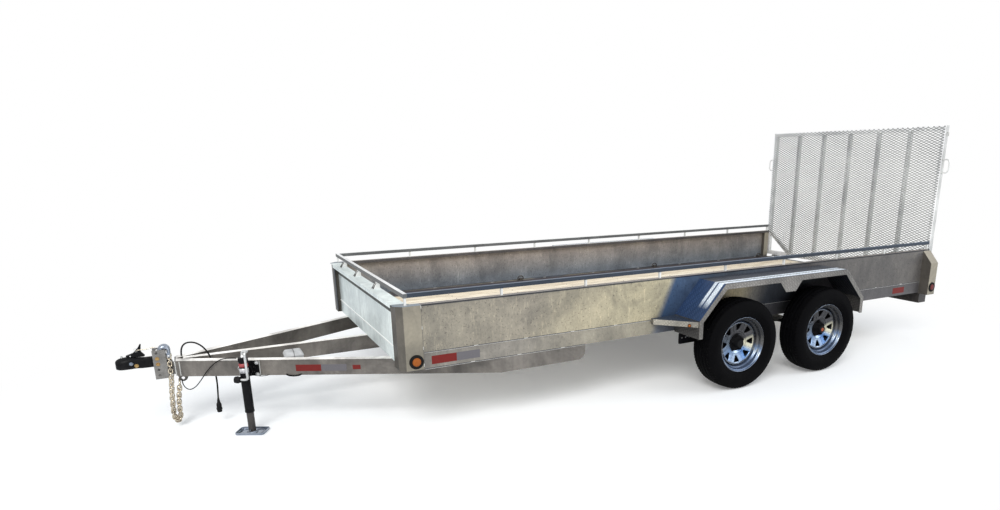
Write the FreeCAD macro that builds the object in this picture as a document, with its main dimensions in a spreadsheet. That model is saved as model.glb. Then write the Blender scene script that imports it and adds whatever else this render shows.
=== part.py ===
import FreeCAD, Part
import math
import os
import re
import Sketcher
from FreeCAD import Placement, Rotation, Vector

# Tandem axle utility trailer with solid sides and a ramp gate, standing on its jack.
# Millimetres. +X is forward, towards the coupler, +Y is the left side, +Z is up, and the
# ground is z = 0. Distances called "...Back" run rearwards from the front of the box and
# distances called "...Ahead" run forwards from it.

os.makedirs("parts", exist_ok=True)
doc = FreeCAD.newDocument("utility_trailer")
sheet = doc.addObject("Spreadsheet::Sheet", "sizes")

# name, value, what it is
driving = (
    ("tipAhead", "1490", "box front to the tip of the coupler"),
    ("rearBack", "=boxLength + 80", "box front to the rearmost hinge barrel"),
    ("boxFront", "=(rearBack - tipAhead) / 2", "x of the box front"),
    ("boxLength", "4952", "length of the box"),
    ("boxHalf", "1015", "half width over the side walls"),
    ("railBottom", "=tyreRadius + 115", "underside of the side rails, top of the tongue"),
    ("railTop", "=railBottom + 102", "top of the 4 inch side rail"),
    ("wallTop", "=railBottom + 395", "top of the side walls"),
    ("wallDeep", "45", "width of the side wall's top flange"),
    ("sheetThick", "3", "folded sheet of the walls"),
    ("railThick", "4", "web and flanges of the rails"),
    ("postLength", "143", "length of the front corner post along the side"),
    ("postReach", "135", "width of the front corner post across the front"),
    ("postChamfer", "35", "chamfer down the front corner post"),
    ("panelBack", "30", "front panel behind the corner posts"),
    ("tieTop", "=wallTop + 70", "top of the tie rail"),
    ("tieSize", "25", "tie rail tube"),
    ("tiePitch", "=(boxLength - 72) / 8", "spacing of the tie rail's posts"),
    ("tieFirst", "57", "first post behind the box front"),
    ("deckTop", "=railBottom + 98", "top of the planks"),
    ("plankThick", "38", "thickness of a plank"),
    ("plankWide", "=(boxHalf - 35) / 5", "width of a plank with its gap"),
    ("plankGap", "6", "gap between planks"),
    ("tongueAngle", "27.8", "outer tongue rail to the centre line, degrees"),
    ("tongueHalf", "679", "half width of the tongue at the box front"),
    ("tongueWide", "51", "width of a tongue rail"),
    ("tongueDeep", "102", "depth of a tongue rail"),
    ("noseAhead", "1168", "box front to the nose of the tongue"),
    ("plateEnd", "708", "rear end of the nose's side plates ahead of the box front"),
    ("plateThick", "6", "side plates along the nose"),
    ("tailBack", "1262", "box front to the tongue rail's rear end"),
    ("axleMid", "=boxLength - 2044", "middle of the two axles behind the box front"),
    ("axleGap", "873", "distance between the axles"),
    ("tyreRadius", "340", "radius of the tyre, standing on the ground"),
    ("tyreHalf", "102", "half the width of the tyre"),
    ("rimRadius", "208", "radius of the rim's flange"),
    ("trackHalf", "=boxHalf + 162", "middle plane of the wheels from the centre line"),
    ("fenderMid", "=axleMid - 36", "middle of the fender behind the box front"),
    ("fenderTopHalf", "=fenderEndHalf - 220", "half length of the fender's flat top"),
    ("fenderEndHalf", "=axleGap / 2 + tyreRadius + 75.5", "half length over the fender's ends"),
    ("fenderTop", "=tyreRadius + 478", "top of the fender"),
    ("fenderShoulder", "=railBottom + 122", "where the sloping sheet meets the upright end"),
    ("fenderBottom", "=railBottom - 8", "lower edge of the upright end"),
    ("fenderOuter", "=boxHalf + 275", "outer face of the fender from the centre line"),
    ("fenderThick", "4", "tread plate of the fender"),
    ("skirtLip", "38", "depth of the lip along the fender"),
    ("skirtBottom", "=fenderTop - 114", "lower edge of the skirt between the wheels"),
    ("gateTop", "=gateBottom + 1360", "top of the ramp gate"),
    ("gateBottom", "=railTop + 21", "underside of the ramp gate"),
    ("gateHalf", "=boxHalf - 10", "half width of the ramp gate"),
    ("gateFace", "=boxLength + 14", "inner face of the gate behind the box front"),
    ("gateDeep", "40", "depth of the gate frame"),
    ("gateTube", "40", "face width of the gate frame"),
    ("ribPitch", "=(gateHalf - 24) / 3", "spacing of the gate's ribs"),
    ("hingeBack", "=boxLength + 68", "hinge pins behind the box front"),
    ("hingeHeight", "=deckTop + 7", "height of the hinge pins"),
    ("jackAhead", "800", "jack tube ahead of the box front"),
    ("jackOff", "75", "jack tube off the rail's outer face"),
    ("jackTubeRadius", "27", "outer tube of the jack"),
    ("jackBottom", "=railBottom - 315", "lower end of the outer tube"),
    ("jackTop", "=railBottom + 40", "top of the jack's cap"),
    ("jackPivot", "=railBottom - 53", "height of the swivel"),
    ("footLong", "180", "foot plate along the rail"),
    ("footWide", "110", "foot plate across the rail"),
    ("bracketHalf", "38", "half width of the coupler bracket"),
)
for row, (name, value, note) in enumerate(driving, 1):
    sheet.set("A%d" % row, note)
    sheet.setAlias("B%d" % row, name)
for row, (name, value, note) in enumerate(driving, 1):
    sheet.set("B%d" % row, value)
doc.recompute()
names = [name for name, value, note in driving]
pattern = re.compile(r"\b(" + "|".join(names) + r")\b")


def bind(text):
    """Point the size names in an expression at the sheet."""
    return pattern.sub(r"sizes.\1", str(text))


def size(text):
    """Value of an expression of size names, in millimetres or degrees."""
    value = sheet.evalExpression(bind(text))
    return float(getattr(value, "Value", value))


def place(thing, at, axis=None, angle=0):
    """Put an object at a place given by expressions."""
    if axis:
        thing.Placement = Placement(Vector(0, 0, 0), Rotation(Vector(*axis), angle))
    for letter, text in zip("xyz", at):
        thing.setExpression(".Placement.Base." + letter, bind(text))
    return thing


def block(label, xs, ys, zs):
    """Rectangular block between pairs of limits."""
    thing = doc.addObject("Part::Box", label)
    for side, (low, high) in zip(("Length", "Width", "Height"), (xs, ys, zs)):
        thing.setExpression(side, bind("(%s) - (%s)" % (high, low)))
    return place(thing, (xs[0], ys[0], zs[0]))


def rod(label, radius, length, at, axis=None, angle=0):
    """Round bar along Z, or along the turned axis."""
    thing = doc.addObject("Part::Cylinder", label)
    thing.setExpression("Radius", bind(radius))
    thing.setExpression("Height", bind(length))
    return place(thing, at, axis, angle)


def sketchOn(body, plane, name, points, rings=()):
    """Closed outline, bound to the sheet, on one of the body's origin planes."""
    outline = body.newObject("Sketcher::SketchObject", name)
    support = [f for f in body.Origin.OriginFeatures if f.Role == plane + "_Plane"]
    outline.AttachmentSupport = [(support[0], "")]
    outline.MapMode = "FlatFace"
    corners = [Vector(size(x), size(y), 0) for x, y in points]
    count = len(corners)
    for i in range(count):
        outline.addGeometry(Part.LineSegment(corners[i], corners[(i + 1) % count]), False)
    for i in range(count):
        outline.addConstraint(Sketcher.Constraint("Coincident", i, 2, (i + 1) % count, 1))
    for i, (x, y) in enumerate(points):
        for kind, text, value in (("DistanceX", x, corners[i].x), ("DistanceY", y, corners[i].y)):
            k = outline.addConstraint(Sketcher.Constraint(kind, -1, 1, i, 1, value))
            outline.setExpression("Constraints[%d]" % k, bind(text))
    for x, y, radius in rings:
        i = outline.addGeometry(
            Part.Circle(Vector(size(x), size(y), 0), Vector(0, 0, 1), size(radius)), False)
        for kind, text, value in (("DistanceX", x, size(x)), ("DistanceY", y, size(y))):
            k = outline.addConstraint(Sketcher.Constraint(kind, -1, 1, i, 3, value))
            outline.setExpression("Constraints[%d]" % k, bind(text))
        k = outline.addConstraint(Sketcher.Constraint("Radius", i, size(radius)))
        outline.setExpression("Constraints[%d]" % k, bind(radius))
    return outline


def prism(label, plane, points, depth, at=("0", "0", "0"), rings=()):
    """Outline on a plane, padded: XY goes up, YZ goes forward, XZ goes to the right side."""
    body = doc.addObject("PartDesign::Body", label)
    outline = sketchOn(body, plane, label + "_outline", points, rings)
    pad = body.newObject("PartDesign::Pad", label + "_pad")
    pad.Profile = outline
    pad.setExpression("Length", bind(depth))
    return place(body, at)


def turned(label, points, at):
    """Outline of (along the axle, radius) turned about the axle's line."""
    body = doc.addObject("PartDesign::Body", label)
    outline = sketchOn(body, "YZ", label + "_section", points)
    turn = body.newObject("PartDesign::Revolution", label + "_turn")
    turn.Profile = outline
    turn.ReferenceAxis = (outline, ["H_Axis"])
    turn.Angle = 360
    return place(body, at)


def joined(label, pieces):
    """One solid out of pieces that meet."""
    thing = doc.addObject("Part::MultiFuse", label)
    thing.Shapes = pieces
    thing.Refine = True
    return thing


def without(label, base, tool):
    """Base with the tool cut away."""
    thing = doc.addObject("Part::Cut", label)
    thing.Base = base
    thing.Tool = tool
    thing.Refine = True
    return thing


def together(label, pieces):
    """Separate solids that share a node."""
    thing = doc.addObject("Part::Compound", label)
    thing.Links = pieces
    return thing


def rounded(body, axis, radius):
    """Round the corners of a padded outline."""
    pad = body.Tip
    doc.recompute()
    corners = ["Edge%d" % i for i, edge in enumerate(pad.Shape.Edges, 1)
               if isinstance(edge.Curve, Part.Line) and abs(edge.Curve.Direction * Vector(*axis)) > 0.999]
    fillet = body.newObject("PartDesign::Fillet", body.Label + "_corners")
    fillet.Base = (pad, corners)
    fillet.Radius = radius
    return body


def swept(label, spots, radius):
    """Round bar along straight runs joined by arcs that meet them smoothly."""
    edges, start, least = [], spots[0], None
    for a, b, c in zip(spots, spots[1:], spots[2:]):
        before, after = (b - a), (c - b)
        half = before.getAngle(after) / 2
        bend = 0.45 * min(before.Length, after.Length) / math.tan(half)
        reach = bend * math.tan(half)
        enter = b - before * (reach / before.Length)
        leave = b + after * (reach / after.Length)
        inward = (after * (1 / after.Length) - before * (1 / before.Length))
        inward.normalize()
        centre = b + inward * (bend / math.cos(half))
        middle = centre - inward * bend
        edges.append(Part.LineSegment(start, enter).toShape())
        edges.append(Part.Arc(enter, middle, leave).toShape())
        start = leave
        least = bend if least is None else min(least, bend)
    edges.append(Part.LineSegment(start, spots[-1]).toShape())
    path = Part.Wire(edges)
    section = Part.Wire([Part.Circle(spots[0], spots[1] - spots[0], radius).toShape()])
    shape = path.makePipeShell([section], True, True)
    thing = doc.addObject("Part::Feature", label)
    thing.Shape = shape if shape.ShapeType == "Solid" else Part.Solid(shape)
    return thing, path.Length, least


nodes = []


def node(label, thing):
    """Name an object as one of the trailer's sub-parts."""
    thing.Label = label
    nodes.append(thing)
    return thing


def flip(side, low, high):
    """Limits of y for one side, from limits on the left side."""
    return (low, high) if side > 0 else ("-(%s)" % high, "-(%s)" % low)


sides = (("left", 1), ("right", -1))


def back(text):
    """x of a place that is a distance behind the box front."""
    return "boxFront - (%s)" % text


def ahead(text):
    """x of a place that is a distance ahead of the box front."""
    return "boxFront + (%s)" % text


# ---- tongue: two wrap-around rails and a centre beam, all 4 inches deep ----
slope = "tan(tongueAngle * 1 deg)"
across = "tongueWide / cos(tongueAngle * 1 deg)"
plate = "plateThick / cos(tongueAngle * 1 deg)"
for name, side in sides:
    # outer edge from the nose back to the side plane, then along it; inner edge back again
    bend = "(boxHalf - tongueHalf) / " + slope
    bendIn = "(boxHalf - tongueWide - tongueHalf + %s) / %s" % (across, slope)
    rail = prism("tongue_%s" % name, "XY", [
        (ahead("noseAhead"), "%d * (tongueHalf + %s - noseAhead * %s)" % (side, plate, slope)),
        (ahead("plateEnd"), "%d * (tongueHalf + %s - plateEnd * %s)" % (side, plate, slope)),
        (ahead("plateEnd - 3"), "%d * (tongueHalf - (plateEnd - 3) * %s)" % (side, slope)),
        (back(bend), "%d * boxHalf" % side),
        (back("tailBack"), "%d * boxHalf" % side),
        (back("tailBack"), "%d * (boxHalf - tongueWide)" % side),
        (back(bendIn), "%d * (boxHalf - tongueWide)" % side),
        (ahead("noseAhead"), "%d * (tongueHalf - %s - noseAhead * %s)" % (side, across, slope)),
    ], "tongueDeep", ("0", "0", "railBottom - tongueDeep"))
    # rounded lower corner at the rail's rear end
    corner = prism("tongue_%s_corner" % name, "XZ", [
        (back("tailBack + 1"), "railBottom - tongueDeep - 1"),
        (back("tailBack - 60"), "railBottom - tongueDeep - 1"),
        (back("tailBack - 42"), "railBottom - tongueDeep + 2"),
        (back("tailBack - 18"), "railBottom - tongueDeep + 14"),
        (back("tailBack - 4"), "railBottom - tongueDeep + 34"),
        (back("tailBack"), "railBottom - tongueDeep + 54"),
        (back("tailBack + 1"), "railBottom - tongueDeep + 54"),
    ], "tongueWide + 2", ("0", "boxHalf + 1" if side > 0 else "tongueWide + 1 - boxHalf", "0"))
    node("tongue_rail_%s" % name, without("tongue_rail_%s_cut" % name, rail, corner))

noseInner = "(tongueHalf - %s) / %s" % (across, slope)
beamTip = "%s - tongueWide / 2 / %s - 3" % (noseInner, slope)
node("tongue_center_beam", block("beam", (back("1500"), ahead(beamTip)),
     ("-tongueWide / 2", "tongueWide / 2"), ("railBottom - tongueDeep", "railBottom")))

nosePlate = block("nose_plate", (ahead("noseAhead"), ahead("noseAhead + 8")),
                  ("-64", "64"), ("railBottom - tongueDeep + 4", "railBottom - 4"))
noseBlock = block("nose_block", (ahead("noseAhead + 8"), ahead("noseAhead + 50")),
                  ("-24", "24"), ("railBottom - tongueDeep + 6", "railBottom - 24"))
channel = prism("bracket_channel", "XY", [
    (ahead("noseAhead + 50"), "-bracketHalf"), (ahead("noseAhead + 122"), "-bracketHalf"),
    (ahead("noseAhead + 122"), "-bracketHalf + 7"), (ahead("noseAhead + 57"), "-bracketHalf + 7"),
    (ahead("noseAhead + 57"), "bracketHalf - 7"), (ahead("noseAhead + 122"), "bracketHalf - 7"),
    (ahead("noseAhead + 122"), "bracketHalf"), (ahead("noseAhead + 50"), "bracketHalf"),
], "186", ("0", "0", "railBottom - 112"))
holes = [rod("bracket_hole_%d" % i, "8", "100",
             (ahead("noseAhead + 98"), "50", "railBottom - 87 + %d * 35.75" % i), (1, 0, 0), 90)
         for i in range(5)]
drilled = without("bracket_drilled", channel, together("bracket_holes", holes))
node("coupler_bracket", joined("coupler_bracket_all", [nosePlate, noseBlock, drilled]))

# the coupler is what its plan and its side outline share, hollow from below like the pressed steel one
plan = joined("coupler_plan", [
    prism("coupler_plan_shank", "XY", [
        (ahead("noseAhead + 57.3"), "-29"), (ahead("tipAhead - 138"), "-29"), (ahead("tipAhead - 100"), "-35"),
        (ahead("tipAhead - 64"), "-39.5"), (ahead("tipAhead - 40"), "-40"), (ahead("tipAhead - 40"), "40"),
        (ahead("tipAhead - 64"), "39.5"), (ahead("tipAhead - 100"), "35"), (ahead("tipAhead - 138"), "29"),
        (ahead("noseAhead + 57.3"), "29"),
    ], "90", ("0", "0", "railBottom - 35")),
    rod("coupler_plan_nose", "40", "90", (ahead("tipAhead - 40"), "0", "railBottom - 35"))])
profile = prism("coupler_side", "XZ", [
    (ahead("noseAhead + 57.3"), "railBottom - 27"), (ahead("tipAhead - 145"), "railBottom - 27"),
    (ahead("tipAhead - 110"), "railBottom - 22"), (ahead("tipAhead + 1"), "railBottom - 22"),
    (ahead("tipAhead + 1"), "railBottom + 14"), (ahead("tipAhead - 6"), "railBottom + 28"),
    (ahead("tipAhead - 18"), "railBottom + 38"), (ahead("tipAhead - 38"), "railBottom + 44"),
    (ahead("tipAhead - 108"), "railBottom + 44"), (ahead("tipAhead - 145"), "railBottom + 31"),
    (ahead("noseAhead + 57.3"), "railBottom + 27"),
], "100", ("0", "50", "0"))
pressed = doc.addObject("Part::MultiCommon", "coupler_pressed")
pressed.Shapes = [plan, profile]
ball = doc.addObject("Part::Sphere", "coupler_cavity_ball")
ball.Radius = 26
place(ball, (ahead("tipAhead - 44"), "0", "railBottom + 7"))
mouth = rod("coupler_mouth", "26", "30", (ahead("tipAhead - 44"), "0", "railBottom - 22"))
hollow = prism("coupler_hollow", "XZ", [
    (ahead("noseAhead + 50"), "railBottom - 30"), (ahead("tipAhead - 86"), "railBottom - 30"),
    (ahead("tipAhead - 86"), "railBottom + 12"), (ahead("tipAhead - 110"), "railBottom + 30"),
    (ahead("tipAhead - 145"), "railBottom + 26"), (ahead("noseAhead + 50"), "railBottom + 22"),
], "48", ("0", "24", "0"))
cavity = joined("coupler_cavity", [ball, mouth, hollow])
node("coupler_body", without("coupler_body_cut", pressed, cavity))
node("coupler_latch", prism("latch", "XZ", [
    (ahead("tipAhead - 95"), "railBottom + 44.3"), (ahead("tipAhead - 65"), "railBottom + 44.3"),
    (ahead("tipAhead - 58"), "railBottom + 54"), (ahead("tipAhead - 98"), "railBottom + 59"),
    (ahead("tipAhead - 138"), "railBottom + 115"), (ahead("tipAhead - 150"), "railBottom + 117"),
    (ahead("tipAhead - 138"), "railBottom + 81"), (ahead("tipAhead - 128"), "railBottom + 48"),
    (ahead("tipAhead - 118"), "railBottom + 44.3"),
], "26", ("0", "13", "0")))

# ---- safety chains: each doubled over, hanging from a tab under the nose ----
under = "railBottom - tongueDeep"
tab = prism("tab", "XZ", [
    (ahead("noseAhead"), under), (ahead("noseAhead - 50"), under), (ahead("noseAhead - 56"), under + " - 23"),
    (ahead("noseAhead - 44"), under + " - 47"), (ahead("noseAhead - 26"), under + " - 55"),
    (ahead("noseAhead - 8"), under + " - 47"), (ahead("noseAhead"), under + " - 27"),
], "10", ("0", "5", "0"))
tabHole = rod("tab_hole", "10", "20", (ahead("noseAhead - 24"), "10", under + " - 33"), (1, 0, 0), 90)
node("chain_tab", without("chain_tab_cut", tab, tabHole))

# chains and cords are drawn for rails 455 high and 102 deep; their ends follow the rails
lift, tabLift = size("railBottom - 455"), size("railBottom - tongueDeep - 353")
# the link is drawn once, in the XY plane with its length along X, and set along each chain
linkWire, linkInside, linkHalf = 6.2, 25.8, 6.3
# (ahead of the box front, out from the centre, height): down from the ring, up to the hook
chainPath = [(1144, 14, 266.6), (1147, 14, 215), (1150, 14.5, 140), (1150, 15, 112)]
chainPath += [(1190 - 40 * math.cos(math.radians(a)), 15 + a / 90, 84 - 40 * math.sin(math.radians(a)))
              for a in range(0, 181, 12)]
chainPath += [(1230, 18, 112), (1221, 26, 190), (1208, 37, 300), (1203, 41, 350), (1203, 41, 405),
              (1203, 33, 436), (1203, 24, 459), (1203, 22, 486.8)]


def linkOutline(label, wire, inside, half):
    """Flat ring with round ends: wire width, inside length, half the inside width."""
    pieces = []
    for name, grow in (("outer", wire), ("inner", 0)):
        bar = doc.addObject("Part::Box", "%s_%s_bar" % (label, name))
        bar.Length = inside - 2 * half
        bar.Width = 2 * (half + grow)
        bar.Height = wire
        bar.Placement.Base = Vector(half - inside / 2, -half - grow, -wire / 2)
        ends = []
        for k, sign in enumerate((-1, 1)):
            end = doc.addObject("Part::Cylinder", "%s_%s_end_%d" % (label, name, k))
            end.Radius = half + grow
            end.Height = wire
            end.Placement.Base = Vector(sign * (inside / 2 - half), 0, -wire / 2)
            ends.append(end)
        pieces.append(joined("%s_%s" % (label, name), [bar] + ends))
    return without(label, pieces[0], pieces[1])


def alongPath(points, pitch):
    """Middles and directions of an odd number of links laid joint to joint along a path."""
    def joints(step):
        found = [points[0]]
        for a, b in zip(points, points[1:]):
            run = b - a
            while True:
                # where a sphere of one step about the last joint cuts this run
                gap = a - found[-1]
                half, rest = gap.dot(run) / run.Length, gap.Length ** 2 - step ** 2
                root = half * half - rest
                at = -half + math.sqrt(root) if root > 0 else -1
                if at < 0 or at > run.Length:
                    break
                found.append(a + run * (at / run.Length))
        return found, (points[-1] - found[-1]).Length

    count = len(joints(pitch)[0]) - 1
    count += 1 - count % 2
    low, high = pitch * 0.9, pitch * 1.05
    for k in range(40):
        step = (low + high) / 2
        if len(joints(step)[0]) - 1 >= count:
            low = step
        else:
            high = step
    found = joints(low)[0]
    print("chain of", len(found) - 1, "links at", round(low, 2), "end off", round(joints(low)[1], 2))
    return [((a + b) * 0.5, (b - a).normalize()) for a, b in zip(found, found[1:])]


def linkPlacement(centre, direction, turn):
    """X along the chain; the link's flat side is turned about the chain."""
    sideways = Vector(0, 1, 0) if turn else direction.cross(Vector(0, 1, 0))
    up = direction.cross(sideways)
    return Placement(centre, Rotation(direction, sideways, up, "XYZ"))


link = linkOutline("chain_link", linkWire, linkInside, linkHalf)
ring = without("chain_ring", prism("ring_outer", "YZ", [
    ("-31", "-24"), ("-24", "-32"), ("24", "-32"), ("31", "-24"), ("31", "24"), ("22", "32"), ("-22", "32"),
    ("-31", "24")], "9", ("-4.5", "0", "0")), prism("ring_inner", "YZ", [
        ("-22", "-20"), ("-19", "-23"), ("19", "-23"), ("22", "-20"), ("22", "19"), ("17", "23"),
        ("-17", "23"), ("-22", "19")], "20", ("-10", "0", "0")))
chains = []
hung = together("chain_ring_hung", [ring])
hung.Placement.Base = Vector(size(ahead("noseAhead - 24")), 0, 288.3 + tabLift)
chains.append(hung)
for name, side in sides:
    path = [Vector(size(ahead(str(x))), side * y, z + (lift if x > 1200 and z > 400 else tabLift))
            for x, y, z in chainPath]
    for k, (centre, direction) in enumerate(alongPath(path, 23.7)):
        copy = together("link_%s_%d" % (name, k), [link])
        copy.Placement = linkPlacement(centre, direction, k % 2)
        chains.append(copy)
node("safety_chains", together("chain_set", chains))

# a hook lies over the bracket's edge, and a clevis with a pin holds the chain's last link
hooks = []
for name, side in sides:
    bow = doc.addObject("Part::Torus", "hook_bow_%s" % name)
    bow.Radius1, bow.Radius2, bow.Angle3 = 22, 8, 250
    start, half = math.radians(-35), math.radians(55)
    bow.Placement = Placement(Vector(size(ahead("1221.5")), side * 22, size("railBottom + 60.4")),
                              Rotation(Vector(math.cos(start), 0, math.sin(start)),
                                       Vector(math.cos(half), 0, math.sin(half)), Vector(0, -1, 0), "XYZ"))
    body = block("hook_clevis_%s" % name, (ahead("1194"), ahead("1212")),
                 flip(side, "12", "32"), ("railBottom + 19", "railBottom + 49"))
    slot = block("hook_slot_%s" % name, (ahead("1190"), ahead("1216")),
                 flip(side, "17.5", "26.5"), ("railBottom + 15", "railBottom + 41"))
    pin = rod("hook_pin_%s" % name, "4", "20",
              (ahead("1203"), flip(side, "12", "32")[1], "railBottom + 28.6"), (1, 0, 0), 90)
    hooks.append(joined("hook_%s" % name, [bow, without("hook_fork_%s" % name, body, slot), pin]))
node("chain_hooks", together("hook_pair", hooks))

# ---- box: rails, walls, posts, floor ----
for name, side in sides:
    web, inner = "%d * boxHalf" % side, "%d * (boxHalf - wallDeep)" % side
    thick = "%d * (boxHalf - railThick)" % side
    node("side_rail_%s" % name, prism("side_rail_%s_section" % name, "YZ", [
        (web, "railBottom"), (web, "railTop"), (inner, "railTop"), (inner, "railTop - railThick"),
        (thick, "railTop - railThick"), (thick, "railBottom + railThick"),
        (inner, "railBottom + railThick"), (inner, "railBottom"),
    ], "boxLength - postLength", (back("boxLength"), "0", "0")))
    skin = "%d * (boxHalf - sheetThick)" % side
    lip = "%d * (boxHalf - wallDeep + sheetThick)" % side
    node("side_wall_%s" % name, prism("side_wall_%s_section" % name, "YZ", [
        (web, "railTop"), (web, "wallTop"), (inner, "wallTop"), (inner, "wallTop - 22"),
        (lip, "wallTop - 22"), (lip, "wallTop - sheetThick"), (skin, "wallTop - sheetThick"),
        (skin, "railTop + sheetThick"), ("%d * (boxHalf - 30)" % side, "railTop + sheetThick"),
        ("%d * (boxHalf - 30)" % side, "railTop"),
    ], "boxLength - postLength", (back("boxLength"), "0", "0")))

posts = []
for name, side in sides:
    posts.append(prism("front_post_%s" % name, "XY", [
        (back("postLength"), "%d * boxHalf" % side),
        (back("postChamfer"), "%d * boxHalf" % side),
        (back("0"), "%d * (boxHalf - postChamfer)" % side),
        (back("0"), "%d * (boxHalf - postReach)" % side),
        (back("panelBack + 3"), "%d * (boxHalf - postReach)" % side),
        (back("panelBack + 3"), "%d * (boxHalf - postReach + 3)" % side),
        (back("4"), "%d * (boxHalf - postReach + 3)" % side),
        (back("4"), "%d * (boxHalf - postChamfer - 2)" % side),
        (back("postChamfer + 2"), "%d * (boxHalf - 4)" % side),
        (back("postLength"), "%d * (boxHalf - 4)" % side),
    ], "wallTop - railBottom - 4", ("0", "0", "railBottom")))
for name, side in sides:
    ys = flip(side, "boxHalf - wallDeep + sheetThick", "boxHalf - sheetThick")
    posts.append(block("rear_post_%s" % name, (back("boxLength"), back("boxLength - 62")), ys,
                       ("railTop + sheetThick", "wallTop - sheetThick")))
node("corner_posts", together("corner_post_set", posts))
frontRail = prism("front_rail", "XZ", [
    (back("panelBack"), "railBottom"), (back("panelBack"), "railTop"),
    (back("panelBack + 45"), "railTop"), (back("panelBack + 45"), "railTop - railThick"),
    (back("panelBack + railThick"), "railTop - railThick"),
    (back("panelBack + railThick"), "railBottom + railThick"),
    (back("panelBack + 45"), "railBottom + railThick"), (back("panelBack + 45"), "railBottom"),
], "2 * (boxHalf - postReach)", ("0", "boxHalf - postReach", "0"))
frontPanel = prism("front_panel", "XZ", [
    (back("panelBack"), "railTop"), (back("panelBack"), "wallTop - 4"),
    (back("panelBack + sheetThick"), "wallTop - 4"),
    (back("panelBack + sheetThick"), "railTop + sheetThick"), (back("panelBack + 30"), "railTop + 3"),
    (back("panelBack + 30"), "railTop"),
], "2 * (boxHalf - postReach)", ("0", "boxHalf - postReach", "0"))
frontCap = prism("front_cap", "XY", [
    (back("postLength"), "-boxHalf"), (back("postChamfer"), "-boxHalf"),
    (back("-10"), "-boxHalf + postChamfer + 10"), (back("-10"), "boxHalf - postChamfer - 10"),
    (back("postChamfer"), "boxHalf"), (back("postLength"), "boxHalf"),
    (back("postLength"), "boxHalf - wallDeep"), (back("95"), "boxHalf - wallDeep"),
    (back("72"), "boxHalf - wallDeep - 22"), (back("72"), "-boxHalf + wallDeep + 22"),
    (back("95"), "-boxHalf + wallDeep"), (back("postLength"), "-boxHalf + wallDeep"),
], "4", ("0", "0", "wallTop - 4"))
node("front_wall", joined("front_wall_all", [frontRail, frontPanel, frontCap]))

tieMid = "boxHalf - 22"
node("tie_rail_front", block("tie_front", (back("tieFirst + 12.5"), back("tieFirst - 12.5")),
     ("-(%s) - 12.5" % tieMid, tieMid + " + 12.5"), ("tieTop - tieSize", "tieTop")))
tiePosts = []
for name, side in sides:
    ys = flip(side, tieMid + " - 12.5", tieMid + " + 12.5")
    node("tie_rail_%s" % name, block("tie_%s" % name, (back("tieFirst + 8 * tiePitch + 12.5"),
         back("tieFirst + 12.5")), ys, ("tieTop - tieSize", "tieTop")))
    ys = flip(side, tieMid + " - 9", tieMid + " + 9")
    for i in range(9):
        tiePosts.append(block("tie_post_%s_%d" % (name, i),
                              (back("tieFirst + %d * tiePitch + 6" % i),
                               back("tieFirst + %d * tiePitch - 6" % i)),
                              ys, ("wallTop", "tieTop - tieSize")))
for i, y in enumerate(("-0.681 * boxHalf", "-0.195 * boxHalf", "0.355 * boxHalf")):
    tiePosts.append(prism("tie_gusset_%d" % i, "XZ", [
        (back("tieFirst + 9.5"), "wallTop"), (back("tieFirst + 9.5"), "tieTop - tieSize"),
        (back("tieFirst - 5"), "tieTop - tieSize"), (back("tieFirst - 22"), "wallTop + 22"),
        (back("tieFirst - 32"), "wallTop"),
    ], "36", ("0", y + " + 18", "0")))
node("tie_rail_posts", together("tie_post_set", tiePosts))

members = []
for i in range(9):
    behind = "300 + %d * (boxLength - 512) / 8" % i
    members.append(prism("cross_member_%d" % i, "XZ", [
        (back(behind), "railBottom + railThick"), (back(behind), "deckTop - plankThick"),
        (back(behind + " + 50"), "deckTop - plankThick"),
        (back(behind + " + 50"), "deckTop - plankThick - 5"),
        (back(behind + " + 5"), "deckTop - plankThick - 5"),
        (back(behind + " + 5"), "railBottom + railThick"),
    ], "2 * (boxHalf - railThick)", ("0", "boxHalf - railThick", "0")))
node("cross_members", together("cross_member_set", members))
planks = []
for i in range(10):
    low = "(%d - 5) * plankWide + plankGap / 2" % i
    planks.append(block("plank_%d" % i, (back("boxLength - 55"), back("panelBack + 45.3")),
                        (low, low + " + plankWide - plankGap"), ("deckTop - plankThick", "deckTop")))
node("deck_planks", together("plank_set", planks))
sill = block("rear_sill", (back("boxLength"), back("boxLength - 55")),
             ("-boxHalf + railThick", "boxHalf - railThick"), ("railBottom + railThick", "deckTop"))
beam = block("rear_beam", (back("boxLength + 40"), back("boxLength - 62")),
             ("-boxHalf", "boxHalf"), ("railBottom - tongueDeep", "railBottom"))
node("rear_sill", sill)
node("rear_cross_beam", beam)

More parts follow.
